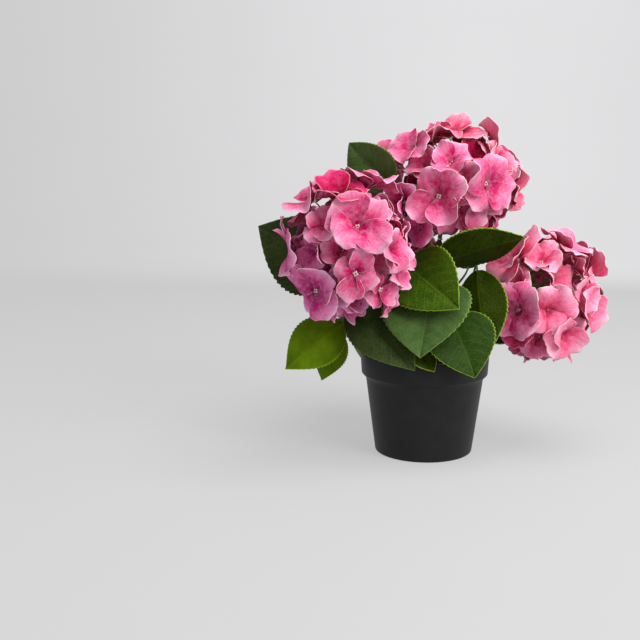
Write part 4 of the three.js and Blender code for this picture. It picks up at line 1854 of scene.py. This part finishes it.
@dataclass
class Studio:
    """Pale sweep, soft boxes and the camera, in metres."""

    camera_place: Triple = (0.0, -1.0, 0.3045)
    pitch: float = -10.27
    yaw: float = -5.62
    focal_pixels: float = 1087.0
    frame_pixels: float = 640.0
    sensor: float = 36.0
    floor_width: float = 6.0
    floor_front: float = -2.5
    floor_back: float = 1.6
    sweep_radius: float = 1.0
    sweep_steps: int = 24
    wall_height: float = 3.0
    sky: tuple[float, float, float, float] = (0.95, 0.97, 1.0, 1.0)
    ambient: float = 0.45
    lamps: tuple[AreaLamp, ...] = (
        AreaLamp("top", (0.35, -0.25, 1.35), (0, 0, 0.15), 0.9, 15.0, (1.0, 0.99, 0.975)),
        AreaLamp("key", (1.0, -0.9, 0.9), (0, 0, 0.18), 0.7, 15.0, (1.0, 0.985, 0.97)),
        AreaLamp("wall", (0.2, 0.9, 1.0), (0.2, 2.6, 1.2), 0.8, 32.0),
    )

    def build_floor(self) -> None:
        """Builds the sweep that the plant stands on."""
        turns = np.linspace(-math.pi / 2, 0, self.sweep_steps)
        bend = [(self.floor_back + self.sweep_radius * math.cos(t), self.sweep_radius * (1 + math.sin(t)))
                for t in turns]
        line = [(self.floor_front, 0.0), *bend, (self.floor_back + self.sweep_radius, self.wall_height)]
        half = self.floor_width / 2
        points = [(x, y, z) for y, z in line for x in (-half, half)]
        faces = [(2 * i, 2 * i + 1, 2 * i + 3, 2 * i + 2) for i in range(len(line) - 1)]
        mesh = bpy.data.meshes.new("sweep")
        mesh.from_pydata(points, [], faces)
        mesh.polygons.foreach_set("use_smooth", np.full(len(faces), True))
        mesh.materials.append(GLOWING_FLOOR_FINISH.material())
        sweep = bpy.data.objects.new("sweep", mesh)
        bpy.context.collection.objects.link(sweep)

    def build_camera(self) -> None:
        """Puts the camera where the photograph was taken from."""
        lens = bpy.data.cameras.new("camera")
        lens.lens = self.sensor * self.focal_pixels / self.frame_pixels
        lens.sensor_width = self.sensor
        lens.clip_start = 0.01
        camera = bpy.data.objects.new("camera", lens)
        camera.location = self.camera_place
        camera.rotation_euler = (math.radians(90 + self.pitch), 0, math.radians(-self.yaw))
        bpy.context.collection.objects.link(camera)
        bpy.context.scene.camera = camera

    def build_world(self) -> None:
        """Lights the room evenly from all round."""
        world = bpy.data.worlds.new("room")
        world.use_nodes = True
        background = world.node_tree.nodes["Background"]
        background.inputs["Color"].default_value = self.sky
        background.inputs["Strength"].default_value = self.ambient
        bpy.context.scene.world = world
        bpy.context.scene.view_settings.view_transform = "Standard"

    def build(self) -> None:
        """Builds the stage, the lamps and the camera."""
        self.build_floor()
        self.build_world()
        self.build_camera()
        for lamp in self.lamps:
            lamp.build()


def main() -> None:
    """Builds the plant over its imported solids, and the studio round it."""
    logging.basicConfig(level=logging.INFO, format="%(name)s: %(message)s")
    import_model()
    pot = Pot()
    fill = PottingFill(pot)
    stem = MainStem(foot=fill.top(0) + GAP)
    pot.build()
    fill.build()
    stem.build()
    leaves = [blade.tree() for shoot in SHOOTS for blade in shoot.blades()]
    standing: list[ClothFloret] = []
    for head in HEADS:
        Bough(head, stem.top).build()
        Bloom(head, [other for other in HEADS if other is not head], leaves, standing).build()
    for shoot in SHOOTS:
        shoot.build(stem)
    Studio().build()


if __name__ == "__main__":
    main()
